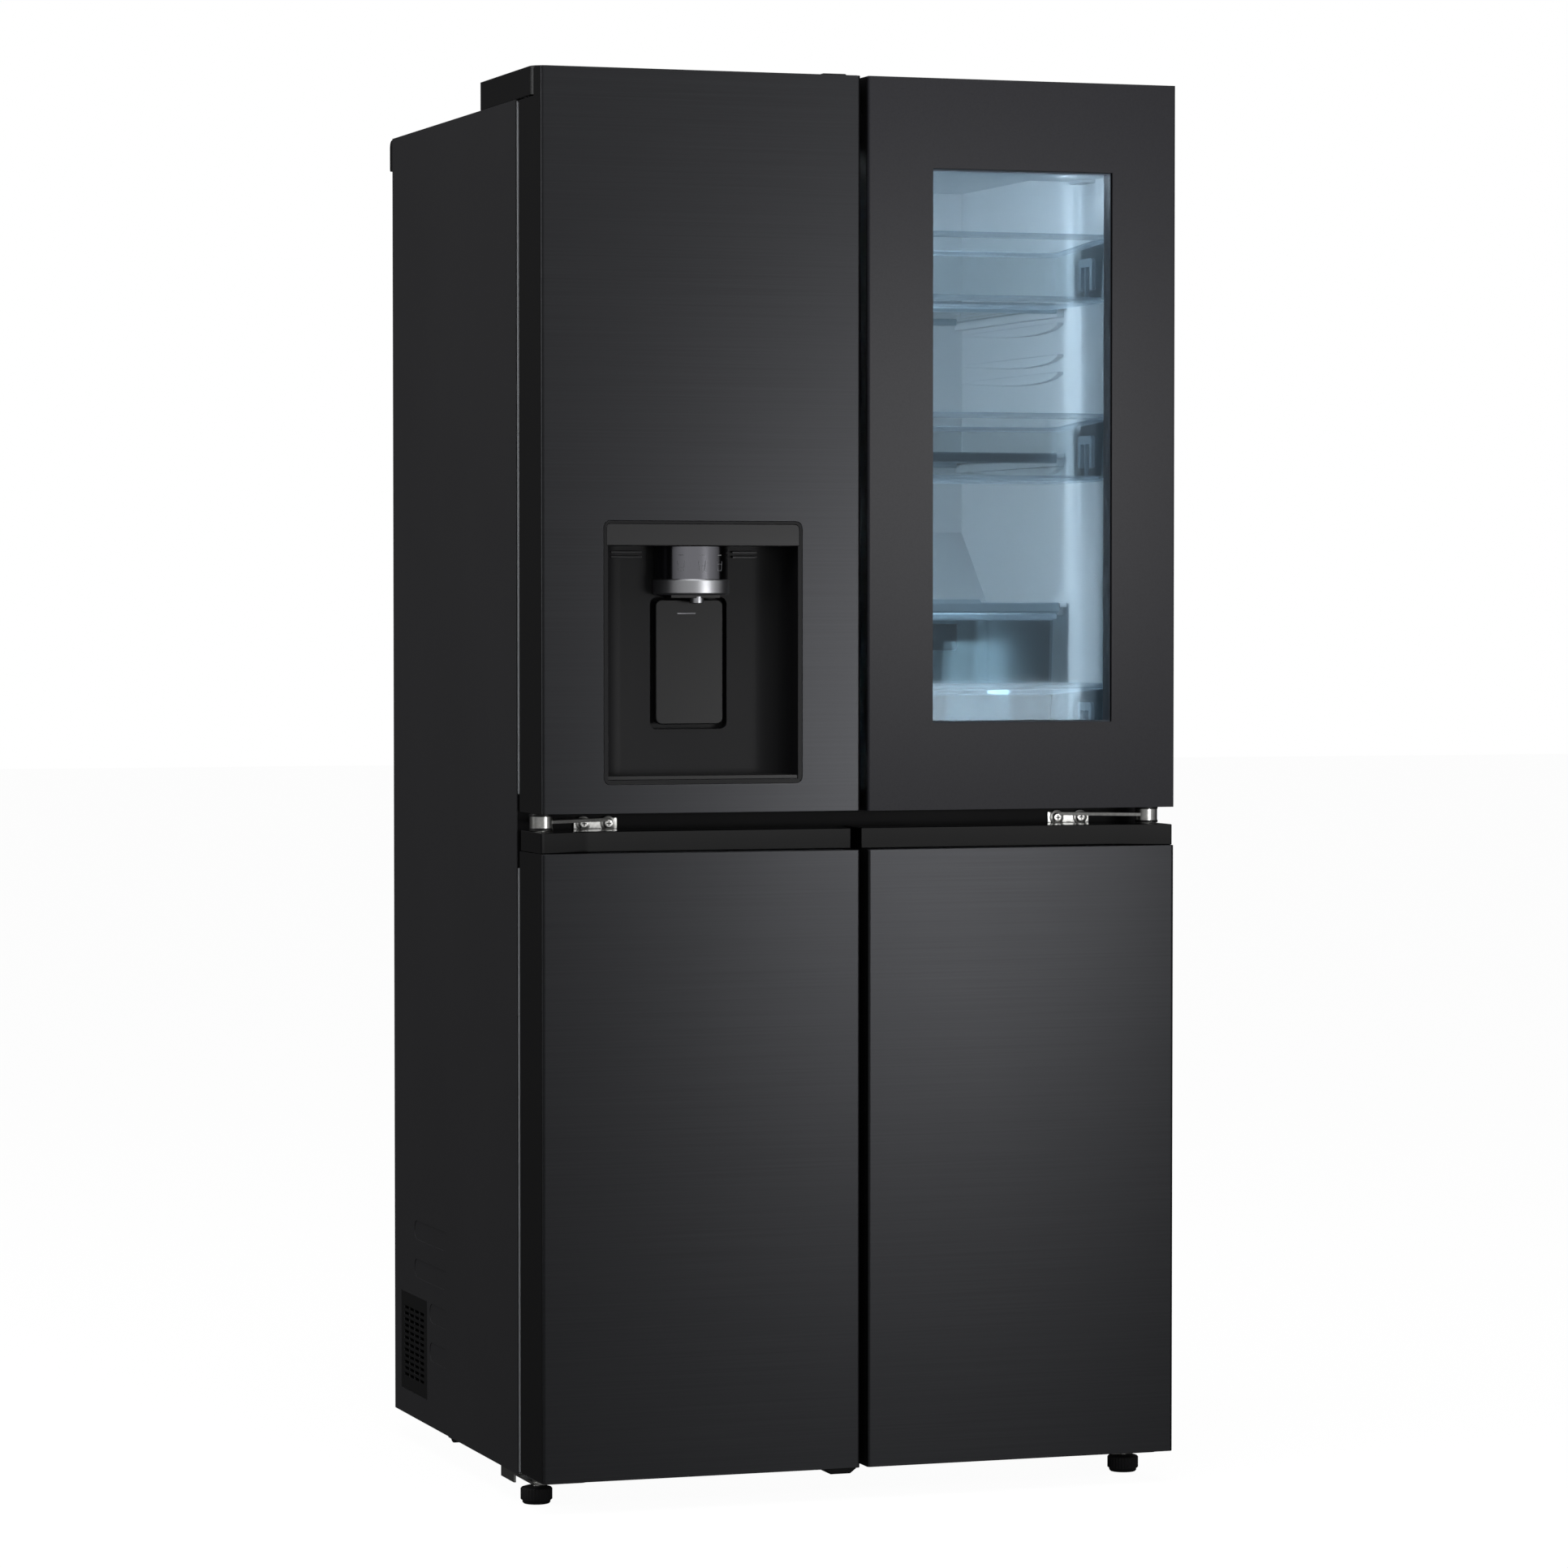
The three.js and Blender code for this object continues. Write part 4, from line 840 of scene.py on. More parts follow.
def build_shelves():
    """Glass shelves with their front and rear trims and end caps."""
    cap_length = 0.010
    trim_inset = cap_length + 0.0005
    for node in ("upper_shelf", "middle_shelf", "crisper_shelf"):
        low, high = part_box(node)
        top = high.z - 0.002
        bm = bmesh.new()
        block(bm, (low.x + 0.003, low.y + 0.006, top - 0.0045), (high.x - 0.003, high.y - 0.002, top), 0.004)
        place_piece(node + "_plate", bm, ["glass"], "cabinet", 0.0006, 2, (node,))
        bm = bmesh.new()
        front = [(low.y + 0.0005, top - 0.010), (low.y + 0.003, top - 0.0118), (low.y + 0.013, top - 0.0118),
                 (low.y + 0.0138, top - 0.006), (low.y + 0.0138, top + 0.0015), (low.y + 0.002, top + 0.0018),
                 (low.y + 0.0002, top)]
        prism(bm, front, "X", low.x + trim_inset, high.x - trim_inset)
        rear = [(high.y - 0.012, top - 0.009), (high.y - 0.001, top - 0.009), (high.y - 0.001, top + 0.006),
                (high.y - 0.004, top + 0.006), (high.y - 0.012, top + 0.0012)]
        prism(bm, rear, "X", low.x + trim_inset, high.x - trim_inset)
        place_piece(node + "_trims", bm, ["trim"], "cabinet", 0.0008, 2)
        bm = bmesh.new()
        for x in (low.x, high.x - cap_length):
            block(bm, (x, low.y, top - 0.0048), (x + cap_length, low.y + 0.05, top + 0.002), 0.003, "X")
        place_piece(node + "_end_caps", bm, ["lining"], "cabinet", 0.0008, 2)


def build_drawers():
    """The crisper and the four freezer drawers, each with a pull along its front."""
    inside = bpy.context.scene.refrigerator_inside
    drawers = ["crisper_drawer"]
    drawers += [f"freezer_drawer_{side}_{level}" for side, _ in SIDES for level in ("upper", "lower")]
    for node in drawers:
        low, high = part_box(node)
        bm = bmesh.new()
        tray(bm, low, high, 0.003, inside.drawer_corner, inside.rim)
        middle = (low.x + high.x) / 2
        reach = (high.x - low.x) * 0.3
        pull = [(low.y + 0.0005, high.z - 0.012), (low.y + 0.0045, high.z - 0.012),
                (low.y + 0.0045, high.z - 0.045), (low.y + 0.0025, high.z - 0.047),
                (low.y + 0.0005, high.z - 0.042)]
        prism(bm, pull, "X", middle - reach, middle + reach)
        place_piece(node + "_moulded", bm, ["clear", "clear_rim"], "cabinet", 0.0006, 1, (node,))


# ---------------------------------------------------------------- pieces of the doors


def build_steel_fronts():
    """The brushed steel pans of the three solid doors."""
    looks = bpy.context.scene.refrigerator_finish
    for node in ("fridge_door_left_skin", "freezer_door_left_skin", "freezer_door_right_skin"):
        finished(node, ["steel", "satin"], looks.edge, 3, choose=front_or_side)


def front_or_side(face):
    """Brushed steel on what faces the front, and satin black on the folded sides."""
    return 0 if face.normal.y < -0.2 or abs(face.normal.x) < 0.5 and face.normal.y < 0.2 else 1


def build_inner_walls():
    """The inner plastic, the seals and the ice room on the backs of the doors."""
    for door in ("fridge_door_left", "freezer_door_left", "freezer_door_right", "fridge_door_right"):
        finished(door + "_core", "lining", 0.0012)
    for name, _ in SIDES:
        for door in ("fridge", "freezer"):
            build_gasket(f"{door}_door_{name}_gasket")
    finished("centre_flap", "satin", 0.0015, 3)
    finished("fridge_door_left_ice_room", "lining", 0.003, 3)
    build_ice_room_door()


def build_gasket(node):
    """A door seal: a soft bellows between its foot on the door and its magnet strip at the cabinet."""
    low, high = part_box(node)
    width, corner = 0.014, 0.016
    depth = high.y - low.y + 0.0003
    waist = 0.003
    side = [(0.0005, 0.0), (0.0, 0.001), (0.0012, 0.0022), (waist, 0.0034), (waist, 0.0042), (0.0012, 0.0054),
            (0.0, 0.0066), (0.0, depth - 0.0006), (0.0006, depth)]
    profile = side + [(width - inset, y) for inset, y in side[::-1]]
    rings = []
    for inset, y in profile:
        points = rounded_outline((low.x + inset, low.z + inset), (high.x - inset, high.z - inset),
                                 corner - inset, 5)
        rings.append([(a, low.y + y, b) for a, b in points])
    bm = bmesh.new()
    loft(bm, [*rings, rings[0]], 0, False)
    bmesh.ops.remove_doubles(bm, verts=bm.verts, dist=WELD)
    place_piece(node + "_bellows", bm, ["rubber"], body_of(node), 0.0, 1, (node,))


def build_ice_room_door():
    """The shallow door of the ice room, with its latch."""
    low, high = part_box("fridge_door_left_ice_room")
    bm = bmesh.new()
    inset = 0.008
    outline = rounded_outline((low.x + inset, low.z + inset), (high.x - inset, high.z - inset), 0.012, 5)
    prism(bm, outline, "Y", high.y - 0.0005, high.y + 0.006, 0, 0.002)
    place_piece("ice_room_door", bm, ["lining"], "fridge_door_left", 0.0015, 3)
    bm = bmesh.new()
    latch_z = (low.z + high.z) / 2
    half = 0.03
    block(bm, (high.x - 0.04, high.y + 0.0055, latch_z - half),
          (high.x - 0.018, high.y + 0.012, latch_z + half), 0.006, "Y")
    place_piece("ice_room_latch", bm, ["trim"], "fridge_door_left", 0.002, 3)


def build_grips():
    """The gloss black grip strips along the tops of the freezer doors."""
    for name, _ in SIDES:
        finished(f"freezer_door_{name}_grip", "gloss", 0.0012, 3)


def build_window_door():
    """The glass front with its clear window, the frame behind it and the inner pane."""
    finished("fridge_door_right_frame", "satin", 0.0006)
    finished("fridge_door_right_inner_glass", "glass", 0.0005, 1)
    build_front_glass()
    build_window_spacer()


def window_box():
    """Lowest and highest corners of the window, from the inner pane behind it."""
    overlap = 0.0097
    low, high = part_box("fridge_door_right_inner_glass")
    return (low.x + overlap, low.z + overlap), (high.x - overlap, high.z - overlap)


def build_front_glass():
    """One sheet of glass: printed behind its border, and clear over the window."""
    low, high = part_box("fridge_door_right_glass")
    (wx0, wz0), (wx1, wz1) = window_box()
    edge = 0.003
    steps = 6
    columns = []
    for i in range(steps + 1):
        turn_by = QUARTER * i / steps
        columns.append((low.x + edge * (1 - math.sin(turn_by)), low.y + edge * (1 - math.cos(turn_by))))
    columns = columns[::-1]
    fronts = columns + [(wx0, low.y), (wx1, low.y)]
    fronts += [(low.x + high.x - x, y) for x, y in columns[::-1]]
    levels = [low.z, wz0, wz1, high.z]
    bm = bmesh.new()
    front = [[bm.verts.new((x, y, z)) for x, y in fronts] for z in levels]
    back = [[bm.verts.new((x, high.y, z)) for x, _ in fronts] for z in levels]
    last = len(fronts) - 1
    middle = len(columns)
    for row in range(len(levels) - 1):
        for i in range(last):
            clear = 1 if row == 1 and i == middle else 0
            near = bm.faces.new((front[row][i], front[row][i + 1], front[row + 1][i + 1], front[row + 1][i]))
            far = bm.faces.new((back[row][i + 1], back[row][i], back[row + 1][i], back[row + 1][i + 1]))
            near.material_index = clear
            far.material_index = clear
        bm.faces.new((back[row][0], front[row][0], front[row + 1][0], back[row + 1][0]))
        bm.faces.new((front[row][last], back[row][last], back[row + 1][last], front[row + 1][last]))
    for row, flip in ((0, True), (-1, False)):
        for i in range(last):
            quad = [front[row][i], back[row][i], back[row][i + 1], front[row][i + 1]]
            bm.faces.new(quad if flip else quad[::-1])
    bmesh.ops.remove_doubles(bm, verts=bm.verts, dist=WELD)
    place_piece("window_door_glass", bm, ["border", "window"], "fridge_door_right", 0.0004, 2,
                ("fridge_door_right_glass",))


def build_window_spacer():
    """The spacer that keeps the panes apart round the window; its pale grey is painted light, for a strip
    that gets little light between the panes.
    """
    (x0, z0), (x1, z1) = window_box()
    wall, gap, clearance = 0.0015, 0.0003, 0.0004
    y0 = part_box("fridge_door_right_glass")[1].y + clearance
    y1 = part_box("fridge_door_right_inner_glass")[0].y - clearance
    bm = bmesh.new()
    outer = rounded_outline((x0 + gap, z0 + gap), (x1 - gap, z1 - gap), 0.001, 2)
    inner = rounded_outline((x0 + wall, z0 + wall), (x1 - wall, z1 - wall), 0.0008, 2)
    rings = [[(a, y0, b) for a, b in outer], [(a, y1, b) for a, b in outer],
             [(a, y1, b) for a, b in inner], [(a, y0, b) for a, b in inner]]
    loft(bm, [*rings, rings[0]], 0, False)
    bmesh.ops.remove_doubles(bm, verts=bm.verts, dist=WELD)
    place_piece("window_spacer", bm, ["spacer"], "fridge_door_right", 0.0003, 1)


def build_door_bins():
    """The three clear bins on the right door, with the lugs that hang them."""
    inside = bpy.context.scene.refrigerator_inside
    for level in ("lower", "middle", "upper"):
        node = f"door_bin_{level}"
        low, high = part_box(node)
        bm = bmesh.new()
        tray(bm, low, high, 0.0028, inside.bin_corner, inside.rim, 0.003, 0.012)
        for x, step in ((low.x + 0.0046, 1), (high.x - 0.0046, -1)):
            hanging_lug(bm, x, step, low.y + 0.078, high.z - 0.026, low.z + 0.019)
        place_piece(node + "_moulded", bm, ["clear", "clear_rim"], "fridge_door_right", 0.0006, 1, (node,))


def hanging_lug(bm, x, step, y, top, bottom):
    """The thick loop on the inside of a bin's end wall that hooks over its peg on the door."""
    inner = x + step * 0.005
    span = (min(x, inner), max(x, inner))
    half, bar, leg = 0.023, 0.008, 0.0015
    # the lugs take the second finish, whose painted glow keeps them from reading dark
    for front in (y - half, y + half - bar):
        block(bm, (span[0], front, bottom), (span[1], front + bar, top - 0.004), 0.0024, "X", 1)
    block(bm, (span[0], y - leg, bottom - 0.015), (span[1], y + leg, top - 0.006), 0.0008, "X", 1)
    block(bm, (span[0], y - half, top - 0.011), (span[1], y + half, top), 0.005, "X", 1)


# ---------------------------------------------------------------- dispenser


def build_dispenser():
    """The recess, its panel, chute, paddle and drip tray."""
    # the rounded edges of the recess, outside and in, get the painted edge highlight
    finished("dispenser_housing", "recess", 0.0009, 3, edge_highlight_finish="bezel")
    finished("dispenser_panel", "panel", 0.0006, 2)
    finished("drip_tray", "satin", 0.0005, 1)
    build_chute()
    build_paddle()
    build_recess_bars()


def build_chute():
    """The plated chute: dark barrel, silver ring, black nozzle block and bright spout."""
    low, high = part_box("dispenser_chute")
    radius = (high.x - low.x) / 2
    x, y = low.x + radius, low.y + radius
    ring_low, ring_high = low.z + 0.0039, low.z + 0.023

    def part_of(face):
        """The finish of a face, by its height: barrel, ring or nozzle block."""
        z = face.calc_center_median().z
        if z < ring_low:
            return 2
        return 1 if z < ring_high else 0

    finished("dispenser_chute", ["dark_chrome", "silver", "satin"], 0.0005, 2, choose=part_of)
    bm = bmesh.new()
    spout = x + 0.004
    turned(bm, spout, y - 0.012, [(0.0085, low.z + 0.002), (0.0085, low.z - 0.006), (0.0078, low.z - 0.0068),
                                  (0.0058, low.z - 0.0068), (0.0056, low.z - 0.002)], 32)
    place_piece("water_spout", bm, ["silver"], "fridge_door_left", 0.0003, 1)
    ring_width = 0.0015
    build_chute_marks(x, y, radius - ring_width, high.z)


def wrapped(bm, x, y, radius, points, material=0):
    """A thin plate of (arc length, height) points, bent round the chute."""
    rings = []
    for r in (radius - 0.0001, radius + 0.00025):
        rings.append([(x + r * math.sin(s / radius), y - r * math.cos(s / radius), z) for s, z in points])
    loft(bm, rings, material)


def build_chute_marks(x, y, radius, top):
    """Three plain cup marks and their ticks on the barrel; the third tick is lit."""
    bm = bmesh.new()
    line, tick_line = 0.0006, 0.0009
    base, rim_level, tick = top - 0.0305, top - 0.0185, top - 0.0115
    half_low, half_high, half_tick = 0.0032, 0.0046, 0.003
    for index, degrees in enumerate((-33, 0, 33)):
        s = math.radians(degrees) * radius
        for side in (-1, 1):
            foot, lip = s + side * half_low, s + side * half_high
            wrapped(bm, x, y, radius, [(foot - line / 2, base), (foot + line / 2, base),
                                       (lip + line / 2, rim_level), (lip - line / 2, rim_level)])
        for level, half in ((base, half_low), (base + 0.004 + 0.002 * index, half_low + 0.0006)):
            wrapped(bm, x, y, radius, [(s - half, level), (s + half, level), (s + half, level + line),
                                       (s - half, level + line)])
        wrapped(bm, x, y, radius, [(s - half_tick, tick), (s + half_tick, tick),
                                   (s + half_tick, tick + tick_line), (s - half_tick, tick + tick_line)],
                1 if index == 2 else 0)
    place_piece("chute_marks", bm, ["mark", "lit_mark"], "fridge_door_left")


def build_paddle():
    """The cup paddle with its slot mark."""
    finished("dispenser_paddle", "paddle", 0.0016, 4)
    low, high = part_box("dispenser_paddle")
    middle = (low.x + high.x) / 2 - 0.004
    half = 0.012
    bm = bmesh.new()
    block(bm, (middle - half, low.y - 0.0004, high.z - 0.018),
          (middle + half, low.y + 0.001, high.z - 0.0165), 0.0007, "Y")
    place_piece("paddle_mark", bm, ["bezel"], "dispenser_paddle", 0.0001, 1)


def build_recess_bars():
    """The two pairs of guide bars high on the back wall of the recess."""
    low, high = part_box("dispenser_housing")
    _, back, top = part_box("dispenser_chute")[1]
    thick = 0.0022
    bm = bmesh.new()
    for x0, x1 in ((low.x + 0.026, low.x + 0.066), (high.x - 0.072, high.x - 0.040)):
        for z in (top - 0.006, top - 0.012):
            block(bm, (x0, back - 0.005, z - thick), (x1, back + 0.0002, z), 0.001, "Y")
    # the bars' rounded edges get the painted edge highlight
    place_piece("recess_bars", bm, ["satin"], "fridge_door_left", 0.0004, 2, edge_highlight_finish="bezel")


# ---------------------------------------------------------------- hinges, feet and rollers


def build_hinges():
    """Top, middle and bottom hinges with their covers and screws."""
    for name, side in SIDES:
        finished(f"hinge_cover_{name}", "satin", 0.002, 3)
        for level, edge in (("top", 0.0006), ("bottom", 0.0006), ("middle", 0.0007)):
            finished(f"{level}_hinge_{name}", "zinc", edge)
        build_hinge_screws(name, side)
        build_hinge_washers(name)


def build_hinge_screws(name, side):
    """Flanged screws with a cross recess on the face plate of a middle hinge."""
    low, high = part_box(f"middle_hinge_{name}")
    stack_x = joint_place(f"fridge_door_{name}_hinge")[0]
    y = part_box("front_rail")[0].y - 0.0071
    z = (low.z + high.z) / 2 + 0.0085
    head = ((0.0035, 0.0092), (0.0022, 0.0092), (0.0016, 0.0064), (-0.0012, 0.0056), (-0.0018, 0.0040))
    long_half, short_half = 0.0031, 0.0007
    bm = bmesh.new()
    for reach in (0.102, 0.070):
        x = stack_x - side * reach
        loft(bm, [facing_ring(x, y + depth, z, radius, 28) for depth, radius in head])
        for across, upright in ((long_half, short_half), (short_half, long_half)):
            block(bm, (x - across, y - 0.0021, z - upright),
                  (x + across, y - 0.0017, z + upright), 0.0004, "Y", 1)
    place_piece(f"hinge_screws_{name}", bm, ["zinc", "satin"], "cabinet", 0.0003, 2)


def joint_place(name):
    """Where a joint's axis passes, from the frame."""
    for joint in frame["joints"]:
        if joint["name"] == name:
            return joint["pos_m"]
    raise RuntimeError("the frame has no joint named " + name)


def build_hinge_washers(name):
    """Black bushes above and below the arm of a middle hinge."""
    x, y, _ = joint_place(f"fridge_door_{name}_hinge")
    grip_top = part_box(f"freezer_door_{name}_grip")[1].z
    door_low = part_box("fridge_door_left_skin")[0].z
    bm = bmesh.new()
    for z0, z1 in ((grip_top + 0.0008, grip_top + 0.0040), (door_low - 0.0042, door_low - 0.0008)):
        turned(bm, x, y, [(0.0120, z0), (0.0142, z0), (0.0146, z0 + 0.0006), (0.0146, z1 - 0.0006),
                          (0.0142, z1), (0.0120, z1)], 40)
    place_piece(f"hinge_bushes_{name}", bm, ["satin"], "cabinet", 0.0003, 1)


def build_feet():
    """Ribbed levelling feet on zinc screws, and the rear rollers."""
    for name, _ in SIDES:
        node = f"foot_{name}"
        low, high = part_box(node)
        x, y = (low.x + high.x) / 2, (low.y + high.y) / 2
        radius = (high.x - low.x) / 2
        ribs = 30
        around = ribs * 4
        levels = ((0.0, radius - 0.0045, 0.0), (0.0015, radius - 0.003, 0.0), (0.0035, radius - 0.003, 0.0),
                  (0.0055, radius - 0.0006, 0.0011), (0.0185, radius - 0.0006, 0.0011),
                  (0.0200, radius - 0.002, 0.0004), (0.0212, radius - 0.006, 0.0), (0.0216, 0.013, 0.0))
        rings = []
        for z, size, rib in levels:
            ring = []
            for i in range(around):
                angle = math.tau * i / around
                reach = size - rib * (0.5 + 0.5 * math.cos(angle * ribs))
                ring.append((x + reach * math.cos(angle), y + reach * math.sin(angle), low.z + z))
            rings.append(ring)
        bm = bmesh.new()
        loft(bm, rings)
        crest, thread_depth, half_pitch = 0.0049, 0.0007, 0.0009
        threads = [(crest - thread_depth * (i % 2), low.z + 0.0214 + i * half_pitch) for i in range(16)]
        turned(bm, x, y, [(crest, low.z + 0.021), *threads, (0.0045, high.z)], 24, 1)
        place_piece(f"{node}_ribbed", bm, ["tread", "zinc"], node, 0.0, 1, (node,))
        finished(f"roller_{name}", "tread", 0.0012, 3)
    finished("base_plate", "zinc", 0.0006)


# ---------------------------------------------------------------- stage


def build_floor():
    """A pale floor that fades into the white of the studio."""
    reach = 30.0
    bm = bmesh.new()
    corners = [bm.verts.new((a * reach, b * reach, 0.0)) for a, b in ((-1, -1), (1, -1), (1, 1), (-1, 1))]
    bm.faces.new(corners)
    mesh = bpy.data.meshes.new("studio_floor")
    bm.to_mesh(mesh)
    bm.free()
    floor = bpy.data.objects.new("studio_floor", mesh)
    bpy.context.scene.collection.objects.link(floor)
    made, tree, shader, _ = new_material("studio_floor")
    set_values(shader, Roughness=0.9, Specular_IOR_Level=0.0)
    shader.inputs["Base Color"].default_value = (0.9, 0.9, 0.9, 1.0)
    glow_strength, glow_share = 1.10, 0.88
    glow = add(tree, "ShaderNodeEmission", {}, {"Color": (1.0, 1.0, 1.0, 1.0), "Strength": glow_strength})
    mixed = add(tree, "ShaderNodeMixShader", {}, {0: glow_share, 1: shader.outputs[0], 2: glow.outputs[0]})
    tree.links.new(mixed.outputs[0], tree.nodes["Material Output"].inputs["Surface"])
    mesh.materials.append(made)
    floor.visible_glossy = False
    floor.visible_diffuse = False


def build_world():
    """White to the camera; for lighting, a bright band in front and a dim surround."""
    stage = bpy.context.scene.refrigerator_stage
    world = bpy.data.worlds.new("studio")
    bpy.context.scene.world = world
    world.use_nodes = True
    tree = world.node_tree
    sky = tree.nodes["Background"]
    place = add(tree, "ShaderNodeTexCoord").outputs["Generated"]
    axes = add(tree, "ShaderNodeSeparateXYZ", {}, {0: place})
    front = remap(tree, maths(tree, "MULTIPLY", axes.outputs["Y"], -1.0), (-0.1, 0.85), (0.0, 1.0))
    level = maths(tree, "ABSOLUTE", maths(tree, "SUBTRACT", axes.outputs["Z"], 0.025))
    band = remap(tree, level, (0.0, 0.16), (1.0, 0.0))
    glow = maths(tree, "MULTIPLY", maths(tree, "MULTIPLY", front, band), stage.horizon)
    upper = remap(tree, axes.outputs["Z"], (-0.05, 0.6), (0.35, 1.0))
    total = maths(tree, "ADD", glow, maths(tree, "MULTIPLY", upper, stage.surround))
    seen = add(tree, "ShaderNodeLightPath").outputs["Is Camera Ray"]
    inverse = maths(tree, "SUBTRACT", 1.0, seen)
    tree.links.new(maths(tree, "ADD", maths(tree, "MULTIPLY", total, inverse), seen), sky.inputs["Strength"])
    sky.inputs["Color"].default_value = (1.0, 1.0, 1.0, 1.0)


def build_lights():
    """Softboxes before the doors, to the right, one at the left and one overhead."""
    stage = bpy.context.scene.refrigerator_stage
    key = area_light("front_softbox", (0.684, -1.965, 0.845), (0.08, -0.365, 0.90), (0.5, 0.3),
                     stage.key_power)
    glass = "window_door_glass"
    link_light(key, (glass, *(f"freezer_door_{name}_grip_finished" for name, _ in SIDES)), "EXCLUDE")
    upper = area_light("upper_softbox", (0.6325, -1.866, 1.3426), (0.08, -0.365, 1.30), (0.5, 0.5),
                       stage.glass_power)
    link_light(upper, (glass,), "INCLUDE")
    left = area_light("left_door_softbox", (0.68, -1.866, 1.3426), (0.0, -0.365, 1.30), (0.2, 0.5),
                      stage.left_door_power)
    link_light(left, ("fridge_door_left_skin_finished",), "INCLUDE")
    area_light("left_softbox", (-3.5, 0.3, 1.9), (-0.4, 0.0, 1.1), (1.5, 1.5), stage.side_power)
    area_light("top_softbox", (-0.5, -1.5, 4.2), (0.0, 0.0, 1.0), (3.0, 3.0), stage.fill_power)


def link_light(light, names, state):
    """Keeps a light off the named pieces, or on them alone."""
    receivers = bpy.data.collections.new(light.name + "_receivers")
    for name in names:
        receivers.objects.link(bpy.data.objects[name])
    light.light_linking.receiver_collection = receivers
    for item in receivers.collection_objects:
        item.light_linking.link_state = state


def build_camera():
    """The camera, level with the middle of the doors and to their left."""
    stage = bpy.context.scene.refrigerator_stage
    data = bpy.data.cameras.new("studio_camera")
    data.sensor_width = 36.0
    data.lens = stage.lens
    data.clip_end = 200.0
    camera = bpy.data.objects.new("studio_camera", data)
    bpy.context.scene.collection.objects.link(camera)
    camera.location = stage.camera_place
    camera.rotation_euler = (QUARTER - stage.camera_tilt, 0.0, -stage.camera_turn)
    bpy.context.scene.camera = camera
    bpy.context.scene.view_settings.view_transform = "Standard"


# ---------------------------------------------------------------- operators and panel


class REFRIGERATOR_OT_case(bpy.types.Operator):
    """Build the case, its grille and its caps"""

    bl_idname = "refrigerator.case"
    bl_label = "Case"
    bl_options = {"REGISTER", "UNDO"}

    def execute(self, context):
        """Runs this step."""
        build_case()
        return {"FINISHED"}


class REFRIGERATOR_OT_back(bpy.types.Operator):
    """Build the back panel, the machine cover and the compressor"""

    bl_idname = "refrigerator.back"
    bl_label = "Back and machine"
    bl_options = {"REGISTER", "UNDO"}

    def execute(self, context):
        """Runs this step."""
        build_back()
        return {"FINISHED"}


class REFRIGERATOR_OT_linings(bpy.types.Operator):
    """Build the linings and their shelf supports"""

    bl_idname = "refrigerator.linings"
    bl_label = "Linings"
    bl_options = {"REGISTER", "UNDO"}

    def execute(self, context):
        """Runs this step."""
        build_linings()
        return {"FINISHED"}


class REFRIGERATOR_OT_lamp(bpy.types.Operator):
    """Build the cabinet lamp and its light"""

    bl_idname = "refrigerator.lamp"
    bl_label = "Cabinet lamp"
    bl_options = {"REGISTER", "UNDO"}

    def execute(self, context):
        """Runs this step."""
        build_lamp()
        return {"FINISHED"}


class REFRIGERATOR_OT_shelves(bpy.types.Operator):
    """Build the glass shelves"""

    bl_idname = "refrigerator.shelves"
    bl_label = "Shelves"
    bl_options = {"REGISTER", "UNDO"}

    def execute(self, context):
        """Runs this step."""
        build_shelves()
        return {"FINISHED"}


class REFRIGERATOR_OT_drawers(bpy.types.Operator):
    """Build the crisper and the freezer drawers"""

    bl_idname = "refrigerator.drawers"
    bl_label = "Drawers"
    bl_options = {"REGISTER", "UNDO"}

    def execute(self, context):
        """Runs this step."""
        build_drawers()
        return {"FINISHED"}


class REFRIGERATOR_OT_steel_fronts(bpy.types.Operator):
    """Build the brushed steel door fronts"""

    bl_idname = "refrigerator.steel_fronts"
    bl_label = "Steel fronts"
    bl_options = {"REGISTER", "UNDO"}

    def execute(self, context):
        """Runs this step."""
        build_steel_fronts()
        return {"FINISHED"}


class REFRIGERATOR_OT_inner_walls(bpy.types.Operator):
    """Build the inner walls, seals, centre flap and ice room of the doors"""

    bl_idname = "refrigerator.inner_walls"
    bl_label = "Inner walls and seals"
    bl_options = {"REGISTER", "UNDO"}

    def execute(self, context):
        """Runs this step."""
        build_inner_walls()
        return {"FINISHED"}


class REFRIGERATOR_OT_grips(bpy.types.Operator):
    """Build the grip strips"""

    bl_idname = "refrigerator.grips"
    bl_label = "Grip strips"
    bl_options = {"REGISTER", "UNDO"}

    def execute(self, context):
        """Runs this step."""
        build_grips()
        return {"FINISHED"}


class REFRIGERATOR_OT_window_door(bpy.types.Operator):
    """Build the glass door with its window"""

    bl_idname = "refrigerator.window_door"
    bl_label = "Window door"
    bl_options = {"REGISTER", "UNDO"}

    def execute(self, context):
        """Runs this step."""
        build_window_door()
        return {"FINISHED"}


class REFRIGERATOR_OT_door_bins(bpy.types.Operator):
    """Build the clear door bins"""

    bl_idname = "refrigerator.door_bins"
    bl_label = "Door bins"
    bl_options = {"REGISTER", "UNDO"}

    def execute(self, context):
        """Runs this step."""
        build_door_bins()
        return {"FINISHED"}


class REFRIGERATOR_OT_dispenser(bpy.types.Operator):
    """Build the ice and water dispenser"""

    bl_idname = "refrigerator.dispenser"
    bl_label = "Dispenser"
    bl_options = {"REGISTER", "UNDO"}

    def execute(self, context):
        """Runs this step."""
        build_dispenser()
        return {"FINISHED"}


class REFRIGERATOR_OT_hinges(bpy.types.Operator):
    """Build the hinges, covers and screws"""

    bl_idname = "refrigerator.hinges"
    bl_label = "Hinges"
    bl_options = {"REGISTER", "UNDO"}

    def execute(self, context):
        """Runs this step."""
        build_hinges()
        return {"FINISHED"}


